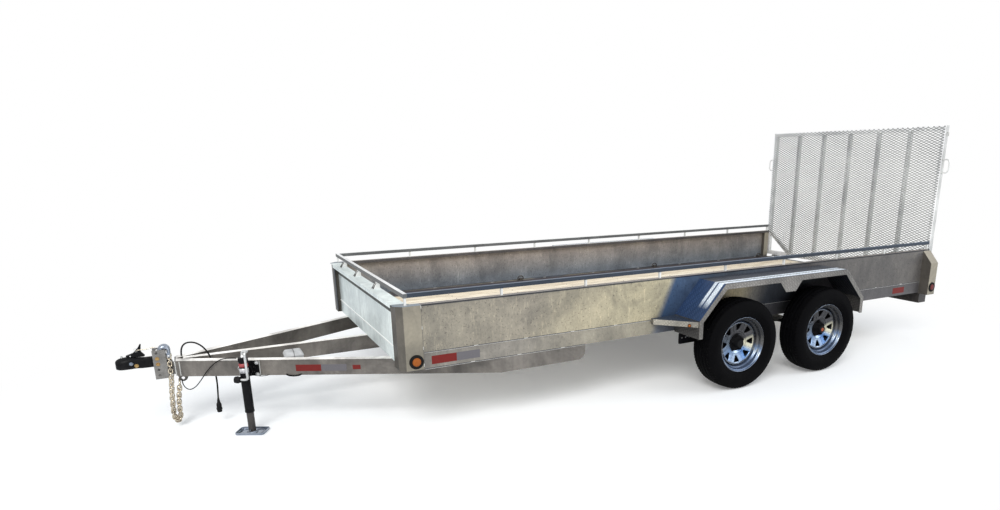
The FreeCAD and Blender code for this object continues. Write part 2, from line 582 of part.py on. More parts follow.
# ---- fenders, steps and brackets ----
for name, side in sides:
    def x(half):
        return "boxFront - fenderMid + (%s)" % half
    outer = [("fenderEndHalf", "fenderBottom"), ("fenderEndHalf", "fenderShoulder"),
             ("fenderTopHalf", "fenderTop"), ("-fenderTopHalf", "fenderTop"),
             ("-fenderEndHalf", "fenderShoulder"), ("-fenderEndHalf", "fenderBottom")]
    inner = [("-fenderEndHalf + fenderThick", "fenderBottom"),
             ("-fenderEndHalf + fenderThick", "fenderShoulder - 1.5"),
             ("-fenderTopHalf + 1.5", "fenderTop - fenderThick"),
             ("fenderTopHalf - 1.5", "fenderTop - fenderThick"),
             ("fenderEndHalf - fenderThick", "fenderShoulder - 1.5"),
             ("fenderEndHalf - fenderThick", "fenderBottom")]
    top = "fenderOuter" if side > 0 else "-boxHalf"
    cover = prism("fender_%s_cover" % name, "XZ", [(x(a), b) for a, b in outer + inner],
                  "fenderOuter - boxHalf", ("0", top, "0"))
    lip = [("-fenderEndHalf + 34", "fenderBottom"),
           ("-fenderEndHalf + 34", "fenderShoulder - 12"), ("-fenderTopHalf + 16", "fenderTop - skirtLip"),
           ("-128", "fenderTop - skirtLip"), ("-128 + 62", "skirtBottom"), ("128 - 62 - 30", "skirtBottom"),
           ("98", "fenderTop - skirtLip"),
           ("fenderTopHalf - 16", "fenderTop - skirtLip"), ("fenderEndHalf - 34", "fenderShoulder - 12"),
           ("fenderEndHalf - 34", "fenderBottom")]
    top = "fenderOuter" if side > 0 else "-fenderOuter + fenderThick"
    skirt = prism("fender_%s_skirt" % name, "XZ", [(x(a), b) for a, b in outer + lip],
                  "fenderThick", ("0", top, "0"))
    ends = []
    for k, (low, high) in enumerate((("fenderEndHalf - 70", "fenderEndHalf - fenderThick"),
                                     ("-fenderEndHalf + fenderThick", "-fenderEndHalf + 70"))):
        ends.append(block("fender_%s_bracket_%d" % (name, k), (x(low), x(high)),
                          flip(side, "boxHalf", "boxHalf + 6"), ("railBottom + 7", "railTop - 1")))
    node("fender_%s" % name, joined("fender_%s_all" % name, [cover, skirt] + ends))

steps = []
stepFront = "fenderMid - fenderEndHalf - 214"
for name, side in sides:
    step = prism("step_%s" % name, "XY", [
        (back(stepFront), "%d * boxHalf" % side), (back("fenderMid - fenderEndHalf"), "%d * boxHalf" % side),
        (back("fenderMid - fenderEndHalf"), "%d * (fenderOuter - 12)" % side),
        (back(stepFront), "%d * (boxHalf + 30)" % side),
    ], "4", ("0", "0", "fenderShoulder - 11"))
    edge = prism("step_edge_%s" % name, "XY", [
        (back(stepFront), "%d * boxHalf" % side), (back(stepFront), "%d * (boxHalf + 30)" % side),
        (back("fenderMid - fenderEndHalf"), "%d * (fenderOuter - 12)" % side),
        (back("fenderMid - fenderEndHalf"), "%d * (fenderOuter - 17)" % side),
        (back(stepFront + " + 4"), "%d * (boxHalf + 27)" % side),
        (back(stepFront + " + 4"), "%d * boxHalf" % side),
    ], "36", ("0", "0", "fenderShoulder - 46"))
    steps.append(joined("step_all_%s" % name, [step, edge]))
node("fender_steps", together("step_pair", steps))

# ---- tail: light boxes, lamps, markers ----
tails, lamps = [], []
for name, side in sides:
    tails.append(prism("tail_box_%s" % name, "YZ", [
        ("%d * boxHalf" % side, "railBottom - 10"), ("%d * (boxHalf + 90)" % side, "railBottom - 10"),
        ("%d * (boxHalf + 90)" % side, "railBottom + 280"), ("%d * boxHalf" % side, "wallTop - 10"),
    ], "100", (back("boxLength + 14"), "0", "0")))
    for rise in (65, 145):
        lamps.append(rod("tail_lamp_%s_%d" % (name, rise), "34", "14",
                         (back("boxLength + 28"), "%d * (boxHalf + 45)" % side, "railBottom + %d" % rise),
                         (0, 1, 0), 90))
node("tail_light_boxes", together("tail_box_pair", tails))
node("tail_lamps", together("tail_lamp_set", lamps))
markers = []
for name, side in sides:
    for kind, behind, off, rise in (("front", "97", "boxHalf", 51),
                                    ("rear", "boxLength - 34", "boxHalf + 90", 60)):
        turn = -90 if side > 0 else 90
        markers.append(rod("marker_%s_%s" % (kind, name), "32", "9",
                           (back(behind), "%d * (%s)" % (side, off), "railBottom + %d" % rise),
                           (1, 0, 0), turn))
node("marker_lights", together("marker_set", markers))

# ---- axles, springs and hangers ----
axles = (("front", "axleMid - axleGap / 2"), ("rear", "axleMid + axleGap / 2"))
for name, behind in axles:
    tube = rod("axle_%s_tube" % name, "30", "2 * (boxHalf + 20)",
               (back(behind), "boxHalf + 20", "tyreRadius"), (1, 0, 0), 90)
    pieces = [tube]
    for where, side in sides:
        ys = flip(side, "boxHalf + 20", "boxHalf + 26")
        pieces.append(rod("axle_%s_flange_%s" % (name, where), "62", "6",
                          (back(behind), ys[1], "tyreRadius"), (1, 0, 0), 90))
        ys = flip(side, "boxHalf + 20", "trackHalf + 24")
        pieces.append(rod("axle_%s_spindle_%s" % (name, where), "16", "trackHalf + 4 - boxHalf",
                          (back(behind), ys[1], "tyreRadius"), (1, 0, 0), 90))
        # pad on the tube, plate below it and two U-bolts over the spring
        springY = "%d * (boxHalf - 25)" % side
        pieces.append(block("axle_%s_pad_%s" % (name, where),
                            (back(behind + " + 50"), back(behind + " - 50")),
                            (springY + " - 22", springY + " + 22"), ("tyreRadius + 14", "tyreRadius + 29.7")))
        pieces.append(block("axle_%s_plate_%s" % (name, where),
                            (back(behind + " + 56"), back(behind + " - 56")),
                            (springY + " - 38", springY + " + 38"), ("tyreRadius - 36", "tyreRadius - 29")))
        for k, along in enumerate((-42, 42)):
            label, x = "axle_%s_bolt_%s_%d" % (name, where, k), back("%s + %d" % (behind, along))
            for j, off in enumerate((-28, 28)):
                pieces.append(rod("%s_leg_%d" % (label, j), "5.5", "112.4",
                                  (x, "%s + %d" % (springY, off), "tyreRadius - 44")))
            pieces.append(rod(label + "_bow", "5.5", "56", (x, springY + " + 28", "tyreRadius + 68.4"),
                              (1, 0, 0), 90))
    node("axle_%s" % name, joined("axle_%s_all" % name, pieces))

springs, hangers = [], []
# half of a leaf pack seen from the side: (along it, height over the axle), the longest leaf on top
pack = [(105, 30), (105, 36.5), (165, 36.5), (165, 43), (232, 43), (232, 49.5), (300, 49.5), (300, 56),
        (330, 56), (330, 62.5)]
pack = pack + [(-along, rise) for along, rise in reversed(pack)]
for where, side in sides:
    middleY = "%d * (boxHalf - 25)" % side
    for name, behind in axles:
        leaves = prism("spring_%s_%s_leaves" % (name, where), "XZ", [
            (back("%s - %d" % (behind, along)), "tyreRadius + %g" % rise) for along, rise in pack
        ], "44", ("0", middleY + " + 22", "0"))
        rolls, bores = [], []
        for k, along in enumerate((-335, 335)):
            spot = (back("%s + %d" % (behind, along)), middleY, "tyreRadius + 66")
            rolls.append(rod("spring_%s_%s_eye_%d" % (name, where, k), "14", "44",
                             (spot[0], middleY + " + 22", spot[2]), (1, 0, 0), 90))
            bores.append(rod("spring_%s_%s_bore_%d" % (name, where, k), "8.3", "60",
                             (spot[0], middleY + " + 30", spot[2]), (1, 0, 0), 90))
        springs.append(without("spring_%s_%s" % (name, where),
                               joined("spring_%s_%s_rolled" % (name, where), [leaves] + rolls),
                               together("spring_%s_%s_bores" % (name, where), bores)))
    for kind, behind, half, pinRise in (("front", "axleMid - axleGap / 2 - 335", 38, 66),
                                        ("middle", "axleMid", 58, 80),
                                        ("rear", "axleMid + axleGap / 2 + 335", 38, 66)):
        label = "hanger_%s_%s_" % (where, kind)
        cheek = [(back("%s + %d" % (behind, along)), z) for along, z in (
            (half, "railBottom"), (-half, "railBottom"), (-half * 0.7, "tyreRadius + 84"),
            (-16, "tyreRadius + 52"), (16, "tyreRadius + 52"), (half * 0.7, "tyreRadius + 84"))]
        pieces = [block(label + "top", (back("%s + %d" % (behind, half)), back("%s - %d" % (behind, half))),
                        (middleY + " - 29", middleY + " + 29"), ("railBottom - 5", "railBottom")),
                  rod(label + "pin", "8", "66",
                      (back(behind), middleY + " + 33", "tyreRadius + %d" % pinRise), (1, 0, 0), 90)]
        for k, off in enumerate((-24.5, 29)):
            pieces.append(prism(label + "cheek_%d" % k, "XZ", cheek, "4.5",
                                ("0", "%s + %g" % (middleY, off), "0")))
        if kind == "middle":
            # rocker on the pin, its ends tied to the springs' eyes by straps
            pieces.append(prism(label + "rocker", "XZ", [
                (back("%s + %g" % (behind, along)), "tyreRadius + %g" % rise) for along, rise in (
                    (-84, 58), (-84, 78), (-30, 94), (30, 94), (84, 78), (84, 58), (30, 64), (-30, 64))
            ], "36", ("0", middleY + " + 18", "0")))
            for k, way in enumerate((-1, 1)):
                eye = "axleMid + %d * (axleGap / 2 - 335)" % way
                for j, off in enumerate((-22.6, 27.4)):
                    pieces.append(prism(label + "strap_%d_%d" % (k, j), "XZ", [
                        (back("axleMid + %d * 62" % way), "tyreRadius + 56"),
                        (back("axleMid + %d * 62" % way), "tyreRadius + 80"),
                        (back("%s + %d * 14" % (eye, way)), "tyreRadius + 78"),
                        (back("%s + %d * 14" % (eye, way)), "tyreRadius + 54"),
                    ], "4.8", ("0", "%s + %g" % (middleY, off), "0")))
                for at, grip, rise in ((eye, "8", 66), ("axleMid + %d * 76" % way, "7", 68)):
                    pieces.append(rod(label + "bolt_%d_%s" % (k, grip), grip, "64",
                                      (back(at), middleY + " + 32", "tyreRadius + %d" % rise),
                                      (1, 0, 0), 90))
        hangers.append(joined(label + "all", pieces))
node("leaf_springs", together("spring_set", springs))
node("spring_hangers", together("hanger_set", hangers))

# ---- wheels ----
window = rounded(prism("rim_window", "XZ", [("-25", "148"), ("25", "148"), ("8", "102"), ("-8", "102")],
                       "100", ("0", "50", "0")), (0, 1, 0), 6)
windowRing = []
for k in range(8):
    turnedWindow = together("rim_window_%d" % k, [window])
    turnedWindow.Placement = Placement(Vector(0, 0, 0), Rotation(Vector(0, 1, 0), 45 * k))
    windowRing.append(turnedWindow)
windowRing = together("rim_window_ring", windowRing)
wheelTable = [("%s_%s" % (axle, where), behind, side) for axle, behind in axles for where, side in sides]
for name, behind, side in wheelTable:
    at = (back(behind), "%d * trackHalf" % side, "tyreRadius")
    half = "%d * (tyreHalf" % side
    node("tyre_%s" % name, turned("tyre_%s_body" % name, [
        ("%d * -70" % side, "rimRadius - 6"), ("%d * -70" % side, "rimRadius + 3"),
        ("%d * -94" % side, "rimRadius + 36"),
        ("%d * -tyreHalf" % side, "tyreRadius - 75"), ("%d * -96" % side, "tyreRadius - 28"),
        ("%d * -74" % side, "tyreRadius - 5"), ("%d * -40" % side, "tyreRadius"),
        ("%d * 40" % side, "tyreRadius"), ("%d * 74" % side, "tyreRadius - 5"),
        ("%d * 96" % side, "tyreRadius - 28"), ("%d * tyreHalf" % side, "tyreRadius - 75"),
        ("%d * 94" % side, "rimRadius + 36"), ("%d * 70" % side, "rimRadius + 3"),
        ("%d * 70" % side, "rimRadius - 6"),
        ("%d * 60" % side, "rimRadius - 14"), ("%d * -60" % side, "rimRadius - 14"),
    ], at))
    rim = turned("rim_%s_barrel" % name, [
        ("%d * 80" % side, "rimRadius"), ("%d * 80" % side, "rimRadius - 8"),
        ("%d * 62" % side, "rimRadius - 22"), ("%d * 40" % side, "rimRadius - 26"),
        ("%d * 20" % side, "rimRadius - 46"), ("%d * -62" % side, "rimRadius - 30"),
        ("%d * -80" % side, "rimRadius - 8"), ("%d * -80" % side, "rimRadius"),
        ("%d * -70" % side, "rimRadius"), ("%d * -70" % side, "rimRadius - 6"),
        ("%d * -60" % side, "rimRadius - 14"), ("%d * 60" % side, "rimRadius - 14"),
        ("%d * 70" % side, "rimRadius - 6"), ("%d * 70" % side, "rimRadius"),
    ], at)
    disc = turned("rim_%s_disc" % name, [
        ("%d * 14" % side, "rimRadius - 34"), ("%d * 26" % side, "rimRadius - 66"),
        ("%d * 20" % side, "92"), ("%d * 6" % side, "74"), ("%d * 6" % side, "42"),
        ("0", "42"), ("0", "78"), ("%d * 14" % side, "96"),
        ("%d * 19" % side, "rimRadius - 68"), ("%d * 8" % side, "rimRadius - 40"),
    ], at)
    windows = place(together("rim_%s_windows" % name, [windowRing]), at)
    pierced = without("rim_%s_pierced" % name, disc, windows)
    node("rim_%s" % name, joined("rim_%s_all" % name, [rim, pierced]))
    node("hub_%s" % name, turned("hub_%s_body" % name, [
        ("%d * 56" % side, "0"), ("%d * 56" % side, "26"), ("%d * 50" % side, "32"),
        ("%d * 6" % side, "34"), ("%d * 6" % side, "41"), ("0", "41"),
        ("0", "74"), ("%d * -10" % side, "80"), ("%d * -34" % side, "127"),
        ("%d * -80" % side, "127"), ("%d * -80" % side, "120"), ("%d * -42" % side, "120"),
        ("%d * -26" % side, "40"), ("%d * -80" % side, "40"), ("%d * -80" % side, "16.07"),
        ("%d * 26" % side, "16.07"), ("%d * 26" % side, "0"),
    ], at))

# ---- ramp gate ----
gateXs = (back("gateFace + gateDeep"), back("gateFace"))
frame = []
for name, side in sides:
    frame.append(block("gate_stile_%s" % name, gateXs, flip(side, "gateHalf - gateTube", "gateHalf"),
                       ("gateBottom", "gateTop")))
frame.append(block("gate_head", gateXs, ("-gateHalf", "gateHalf"), ("gateTop - gateTube", "gateTop")))
frame.append(block("gate_foot", gateXs, ("-gateHalf", "gateHalf"), ("gateBottom", "gateBottom + gateTube")))
for i in (-2, -1, 0, 1, 2):
    frame.append(block("gate_rib_%d" % (i + 2), (back("gateFace + gateDeep"), back("gateFace + 8")),
                      ("%d * ribPitch - 16" % i, "%d * ribPitch + 16" % i),
                      ("gateBottom + gateTube", "gateTop - gateTube")))
for name, side in sides:
    frame.append(prism("gate_brace_%s" % name, "YZ", [
        ("%d * (gateHalf - gateTube)" % side, "gateBottom + 265"),
        ("%d * (gateHalf - gateTube)" % side, "gateBottom + 226"),
        ("%d * (2 * ribPitch + 64)" % side, "gateBottom + gateTube"),
        ("%d * (2 * ribPitch + 16)" % side, "gateBottom + gateTube"),
        ("%d * (2 * ribPitch + 16)" % side, "gateBottom + gateTube + 9"),
    ], "gateDeep - 8", (back("gateFace + gateDeep"), "0", "0")))
node("gate_frame", joined("gate_frame_all", frame))
meshOutline = [
    ("-gateHalf + gateTube", "gateTop - gateTube"), ("gateHalf - gateTube", "gateTop - gateTube"),
    ("gateHalf - gateTube", "gateBottom + 245"), ("2 * ribPitch + 40", "gateBottom + gateTube"),
    ("-2 * ribPitch - 40", "gateBottom + gateTube"), ("-gateHalf + gateTube", "gateBottom + 245")]
node("gate_mesh", prism("gate_mesh_sheet", "YZ", meshOutline, "4", (back("gateFace + 8"), "0", "0")))
handles = []
for name, side in sides:
    bar = [Vector(size(back("gateFace + 20")), side * size("gateHalf + %g" % out),
                  size("gateTop - %g" % drop))
           for out, drop in ((0, 290.5), (47, 290.5), (60, 316), (60, 380), (47, 405.5), (0, 405.5))]
    handles.append(swept("gate_handle_%s" % name, bar, 7)[0])
node("gate_handles", together("gate_handle_pair", handles))
lugs, knuckles = [], []
for i, part in enumerate((-3, -1, 1, 3)):
    y = "%d * (gateHalf - 105) / 3" % part
    lug = joined("gate_lug_solid_%d" % i, [
        rod("gate_lug_barrel_%d" % i, "12", "50", (back("hingeBack"), y + " + 25", "hingeHeight"), (1, 0, 0), 90),
        block("gate_lug_plate_%d" % i, (back("hingeBack + 6"), back("gateFace + gateDeep - 6")),
              (y + " - 25", y + " + 25"), ("hingeHeight + 2", "gateBottom"))])
    lugs.append(without("gate_lug_%d" % i, lug, rod(
        "gate_lug_bore_%d" % i, "6.07", "60", (back("hingeBack"), y + " + 30", "hingeHeight"), (1, 0, 0), 90)))
    hangs = [rod("hinge_pin_%d" % i, "6", "104", (back("hingeBack"), y + " + 52", "hingeHeight"), (1, 0, 0), 90)]
    for k, off in enumerate((-52, 28)):
        hangs.append(rod("hinge_barrel_%d_%d" % (i, k), "12", "24",
                         (back("hingeBack"), "%s + %d" % (y, off + 24), "hingeHeight"), (1, 0, 0), 90))
        hangs.append(block("hinge_leaf_%d_%d" % (i, k), (back("hingeBack"), back("boxLength")),
                           ("%s + %d" % (y, off), "%s + %d" % (y, off + 24)),
                           ("hingeHeight - 12", "hingeHeight - 6")))
    knuckles.append(joined("hinge_knuckle_%d" % i, hangs))
node("gate_hinge_lugs", together("gate_lug_set", lugs))
node("gate_hinge_knuckles", together("hinge_knuckle_set", knuckles))

# ---- jack: a frame that leans along the left tongue rail ----
# the jack is drawn at the origin with X along the rail, Y outboard and the pivot's height kept
faceX = "jackAhead - jackOff * sin(tongueAngle * 1 deg)"
faceY = "tongueHalf + %s - (%s) * %s" % (plate, faceX, slope)
jackX = ahead("jackAhead")
jackY = "%s + jackOff * cos(tongueAngle * 1 deg)" % faceY


def turnedWithRail(label, thing):
    """Drawn about the jack tube, X along the rail and Y outboard, then turned into place."""
    holder = together(label, [thing])
    holder.Placement = Placement(Vector(0, 0, 0), Rotation(Vector(0, 0, 1), -size("tongueAngle")))
    holder.setExpression(".Placement.Base.x", bind(jackX))
    holder.setExpression(".Placement.Base.y", bind(jackY))
    return holder


tubeOuter = rod("jack_tube_outer", "jackTubeRadius", "jackTop - jackBottom", ("0", "0", "jackBottom"))
tubeBore = rod("jack_tube_bore", "jackTubeRadius - 4", "jackTop - 15 - jackBottom", ("0", "0", "jackBottom - 1"))
tube = without("jack_tube", tubeOuter, tubeBore)
swivel = rod("jack_swivel", "34", "jackOff - 20.3 - jackTubeRadius + 4",
             ("0", "-jackTubeRadius + 4", "jackPivot"), (1, 0, 0), 90)
node("jack_outer_tube", turnedWithRail("jack_tube_turned", joined("jack_tube_all", [tube, swivel])))
mount = joined("jack_mount_all", [
    rod("jack_mount_flange", "46", "10", ("0", "-jackOff + 20", "jackPivot"), (1, 0, 0), 90),
    block("jack_mount_plate", ("-60", "60"), ("-jackOff", "-jackOff + 10"),
          ("railBottom - tongueDeep + 4", "railBottom - 4"))])
node("jack_mount", turnedWithRail("jack_mount_turned", mount))
bar = [Vector(x, y, size("jackTop + %g" % rise)) for x, y, rise in (
    (0, 0, 0), (0, 0, 42), (-26, 0, 42), (-26, 45, 42), (-26, 45, -129), (30, 45, -129))]
crank = joined("jack_crank_all", [
    swept("crank_bar", bar, 8)[0], rod("crank_grip", "15", "46", ("26", "45", "jackTop - 129"), (0, 1, 0), 90)])
node("jack_crank", turnedWithRail("jack_crank_turned", crank))
legOuter = rod("jack_leg_outer", "jackTubeRadius - 5", "350", ("0", "0", "14"))
legBore = rod("jack_leg_bore", "jackTubeRadius - 8", "320", ("0", "0", "50"))
node("jack_inner_tube", turnedWithRail("jack_leg_turned", without("jack_leg", legOuter, legBore)))
corners = [("-footLong / 2 + %d" % k, "-footWide / 2 + %d" % k) for k in (0, 4)]
trays = []
for k, ((x, y), low, high) in enumerate(zip(corners, ("0", "5"), ("16", "12"))):
    outline = [(x, y), ("-(%s)" % x, y), ("-(%s)" % x, "-(%s)" % y), (x, "-(%s)" % y)]
    trays.append(rounded(prism("foot_tray_%d" % k, "XY", outline, high, ("0", "0", low)), (0, 0, 1), 14 - 4 * k))
footTray = without("foot_tray", trays[0], trays[1])
foot = joined("jack_foot_all", [
    footTray,
    rod("foot_socket", "jackTubeRadius + 2", "10", ("0", "0", "4"))])
node("jack_foot", turnedWithRail("jack_foot_turned", foot))

# ---- tie-down rings, battery box and cords ----
rings = []
for name, side in sides:
    for i, behind in enumerate(("150", "boxLength / 3 + 60", "boxLength * 2 / 3 - 14", "boxLength - 160")):
        ys = ("0", "%d * (boxHalf - 31)" % side, "0")
        loop = prism("tie_ring_%s_%d" % (name, i), "XZ", [
            (back(behind + " + 34"), "deckTop + 8"), (back(behind + " + 34"), "deckTop + 26"),
            (back(behind + " + 20"), "deckTop + 46"), (back(behind + " - 20"), "deckTop + 46"),
            (back(behind + " - 34"), "deckTop + 26"), (back(behind + " - 34"), "deckTop + 8"),
        ], "11", ("0", "%d * (boxHalf - 64) + 5.5" % side, "0"))
        hole = prism("tie_ring_hole_%s_%d" % (name, i), "XZ", [
            (back(behind + " + 23"), "deckTop + 19"), (back(behind + " + 23"), "deckTop + 25"),
            (back(behind + " + 15"), "deckTop + 36"), (back(behind + " - 15"), "deckTop + 36"),
            (back(behind + " - 23"), "deckTop + 25"), (back(behind + " - 23"), "deckTop + 19"),
        ], "20", ("0", "%d * (boxHalf - 64) + 10" % side, "0"))
        clip = block("tie_ring_clip_%s_%d" % (name, i), (back(behind + " + 14"), back(behind + " - 14")),
                     flip(side, "boxHalf - 82", "boxHalf - 46"), ("deckTop", "deckTop + 22"))
        rings.append(joined("tie_ring_all_%s_%d" % (name, i),
                            [without("tie_ring_cut_%s_%d" % (name, i), loop, hole), clip]))
node("tie_down_rings", together("tie_ring_set", rings))

boxShelf = prism("battery_shelf", "XY", [
    (ahead("430"), "tongueHalf - 430 * %s - %s - 1" % (slope, across)),
    (ahead("560"), "tongueHalf - 560 * %s - %s - 1" % (slope, across)),
    (ahead("560"), "150"), (ahead("430"), "150"),
], "5", ("0", "0", "railBottom - 60"))
boxBody = prism("battery_case", "YZ", [
    ("170", "railBottom - 55"), ("282", "railBottom - 55"), ("282", "railBottom - 9"), ("262", "railBottom + 13"),
    ("190", "railBottom + 13"), ("170", "railBottom - 9"),
], "110", (ahead("440"), "0", "0"))
node("battery_box", joined("battery_box_all", [boxShelf, boxBody]))


def cord(label, points, radius):
    """Cord whose points are given from the box front, out from the centre line and up."""
    # the ends under the nose follow the tab, the rest the top of the rails
    spots = [Vector(size(ahead(str(x))), y, z + (tabLift if x > 1100 and z < 320 else lift))
             for x, y, z in points]
    thing, length, least = swept(label, spots, radius)
    print("cord", label, "length", round(length, 1), "least bend", round(least, 1))
    return thing


node("plug_cable", cord("plug_cable_tube", (
    (1136, -48, 455), (1136, -48, 500), (1104, -26, 545), (1044, 14, 548), (994, 48, 506), (968, 66, 436),
    (959, 72, 356), (957, 72, 284), (960, 72, 226), (965, 72, 170)), 5))
plug = joined("plug_all", [
    rod("plug_boot", "9", "30", ("0", "0", "-30")), rod("plug_body", "15", "62", ("0", "0", "-90")),
    rod("plug_collar", "18", "10", ("0", "0", "-70"))])
plugPlaced = together("plug_placed", [plug])
plugPlaced.Placement = Placement(Vector(size(ahead("965")), 72, 170 + lift), Rotation(Vector(0, 1, 0), -5.2))
node("plug", plugPlaced)
node("breakaway_cable", cord("breakaway_tube", (
    (1152, 5, 316), (1152, 42, 316), (1146, 76, 286), (1118, 106, 264), (1080, 130, 284), (1044, 148, 330),
    (1000, 172, 396), (960, 196, 440), (915, 212, 468), (870, 218, 468), (830, 216, 461)), 3))

# ---- check and write ----
doc.recompute()
for thing in doc.Objects:
    if "Invalid" in thing.State or "Error" in thing.State:
        raise RuntimeError("%s is %s" % (thing.Label, thing.State))
box = None
for thing in nodes:
    shape = thing.Shape
    if shape.isNull() or not shape.isValid() or not shape.Solids:
        raise RuntimeError("%s has no valid shape" % thing.Label)
    shape.exportStep("parts/%s.step" % thing.Label)
    box = shape.BoundBox if box is None else box.united(shape.BoundBox)
print("nodes", len(nodes), "box", box)
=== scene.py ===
import math

import bpy
import numpy as np
from mathutils import Matrix, Vector


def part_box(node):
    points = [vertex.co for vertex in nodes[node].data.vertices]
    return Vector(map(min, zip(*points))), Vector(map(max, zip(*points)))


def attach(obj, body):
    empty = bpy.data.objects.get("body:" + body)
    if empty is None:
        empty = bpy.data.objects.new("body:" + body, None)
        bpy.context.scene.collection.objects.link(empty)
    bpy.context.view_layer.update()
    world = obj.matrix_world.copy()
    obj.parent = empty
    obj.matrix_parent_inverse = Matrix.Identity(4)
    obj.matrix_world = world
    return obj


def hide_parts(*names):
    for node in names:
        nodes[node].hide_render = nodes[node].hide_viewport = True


# Galvanised tandem-axle utility trailer with solid sides and a mesh ramp gate, standing on its jack.
# Metres, +X forward to the coupler, +Y the trailer's left, the ground at z = 0.
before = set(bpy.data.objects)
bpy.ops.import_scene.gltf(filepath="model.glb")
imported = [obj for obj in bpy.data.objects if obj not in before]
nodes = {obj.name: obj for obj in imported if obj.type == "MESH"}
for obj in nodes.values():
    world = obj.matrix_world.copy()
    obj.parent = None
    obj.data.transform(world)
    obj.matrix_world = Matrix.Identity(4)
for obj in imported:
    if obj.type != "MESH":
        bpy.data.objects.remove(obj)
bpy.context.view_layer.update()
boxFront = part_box("tie_rail_front")[1].x + 0.0445  # the front of the box, behind its corner posts' faces
print("frame loaded, box front at", round(boxFront, 3))
# out from the middle, or behind the box front, in metres
wallFace, springLine, plankPitch = 1.015, 0.990, 0.196
axlesBehind, hangersBehind, gatePlane = (2.4715, 3.3445), (2.1365, 2.908, 3.6795), 4.986


def ahead(distance, y, z):
    # a place given by its distance ahead of the box front
    return Vector((boxFront + distance, y, z))


cameraView = {"place": (2.7199, 4.7296, 1.6581), "yaw": -0.50305, "pitch": 0.26725, "roll": -0.00542,
              "lens": 23.80, "shift": (-0.0636, 0.0864)}


def makeCamera():
    data = bpy.data.cameras.new("camera")
    data.lens = cameraView["lens"]
    data.sensor_width = 36
    data.shift_x, data.shift_y = cameraView["shift"]
    data.clip_start, data.clip_end = 0.05, 200
    yaw, pitch, roll = cameraView["yaw"], cameraView["pitch"], cameraView["roll"]
    look = Vector((math.sin(yaw) * math.cos(pitch), -math.cos(yaw) * math.cos(pitch), -math.sin(pitch)))
    level = Vector((-math.cos(yaw), -math.sin(yaw), 0))
    upright = level.cross(look)
    right = level * math.cos(roll) + upright * math.sin(roll)
    up = upright * math.cos(roll) - level * math.sin(roll)
    camera = bpy.data.objects.new("camera", data)
    camera.matrix_world = Matrix.Translation(cameraView["place"]) @ Matrix((right, up, -look)).transposed().to_4x4()
    bpy.context.collection.objects.link(camera)
    bpy.context.scene.camera = camera


makeCamera()


# shader helpers
def feed(node, values):
    # links sockets to the node's inputs and sets plain values
    for name, value in values.items():
        if isinstance(value, bpy.types.NodeSocket):
            node.id_data.links.new(value, node.inputs[name])
        else:
            node.inputs[name].default_value = value
    return node


def addNode(tree, kind, inputs=None, **settings):
    node = tree.nodes.new(kind)
    for name, value in settings.items():
        setattr(node, name, value)
    return feed(node, inputs or {})


def newGroup(name, inputs, outputs):
    tree = bpy.data.node_groups.new(name, "ShaderNodeTree")
    for label, kind, value in inputs:
        socket = tree.interface.new_socket(label, in_out="INPUT", socket_type="NodeSocket" + kind)
        if value is not None:
            socket.default_value = value
    for label, kind in outputs:
        tree.interface.new_socket(label, in_out="OUTPUT", socket_type="NodeSocket" + kind)
    return tree, tree.nodes.new("NodeGroupInput").outputs, tree.nodes.new("NodeGroupOutput").inputs


def useGroup(tree, group, **values):
    node = addNode(tree, "ShaderNodeGroup", node_tree=group)
    return feed(node, {name[0].upper() + name[1:]: value for name, value in values.items()}).outputs


def mixColour(tree, factor, first, second, blend="MIX"):
    return addNode(tree, "ShaderNodeMix", {0: factor, 6: first, 7: second}, data_type="RGBA",
                   blend_type=blend).outputs[2]


def calculate(tree, operation, *values):
    return addNode(tree, "ShaderNodeMath", dict(enumerate(values)), operation=operation).outputs[0]


def times(tree, first, second):
    return calculate(tree, "MULTIPLY", first, second)


def objectPlace(tree):
    return addNode(tree, "ShaderNodeTexCoord").outputs["Object"]


def geometry(tree, which):
    return addNode(tree, "ShaderNodeNewGeometry").outputs[which]


def split(tree, vector):
    return addNode(tree, "ShaderNodeSeparateXYZ", {"Vector": vector}).outputs


def vectorMath(tree, operation, inputs):
    return addNode(tree, "ShaderNodeVectorMath", inputs, operation=operation).outputs[0]


def cells(tree, where, scale, randomness, result="Distance", **settings):
    return addNode(tree, "ShaderNodeTexVoronoi", {"Vector": where, "Scale": scale, "Randomness": randomness},
                   **settings).outputs[result]


def remap(tree, value, fromLow, fromHigh, toLow=0.0, toHigh=1.0):
    return addNode(tree, "ShaderNodeMapRange", {"Value": value, "From Min": fromLow, "From Max": fromHigh,
                                                "To Min": toLow, "To Max": toHigh}).outputs[0]


def clampedRange(tree, value, low, high):
    return addNode(tree, "ShaderNodeClamp", {"Value": remap(tree, value, low, high)}).outputs[0]


def stretched(tree, scale, where=None, turn=(0.0, 0.0, 0.0)):
    # coordinates turned and stretched, the object's own where none are given
    return addNode(tree, "ShaderNodeMapping", {"Vector": where or objectPlace(tree), "Rotation": turn,
                                               "Scale": scale}).outputs[0]


def noiseValue(tree, where, scale, detail=4.0, roughness=0.55, distortion=0.0):
    return addNode(tree, "ShaderNodeTexNoise", {"Vector": where, "Scale": scale, "Detail": detail,
                                                "Roughness": roughness, "Distortion": distortion}).outputs[0]


def toneRamp(tree, place, tones):
    # colour ramp of half tones, so that they can pass white once doubled
    ramp = addNode(tree, "ShaderNodeValToRGB", {"Fac": place})
    elements = ramp.color_ramp.elements
    while len(elements) < len(tones):
        elements.new(0.5)
    for element, (stop, tone) in zip(elements, tones):
        element.position = stop
        element.color = (*[c / 2 for c in tone], 1)
    return ramp.outputs[0]


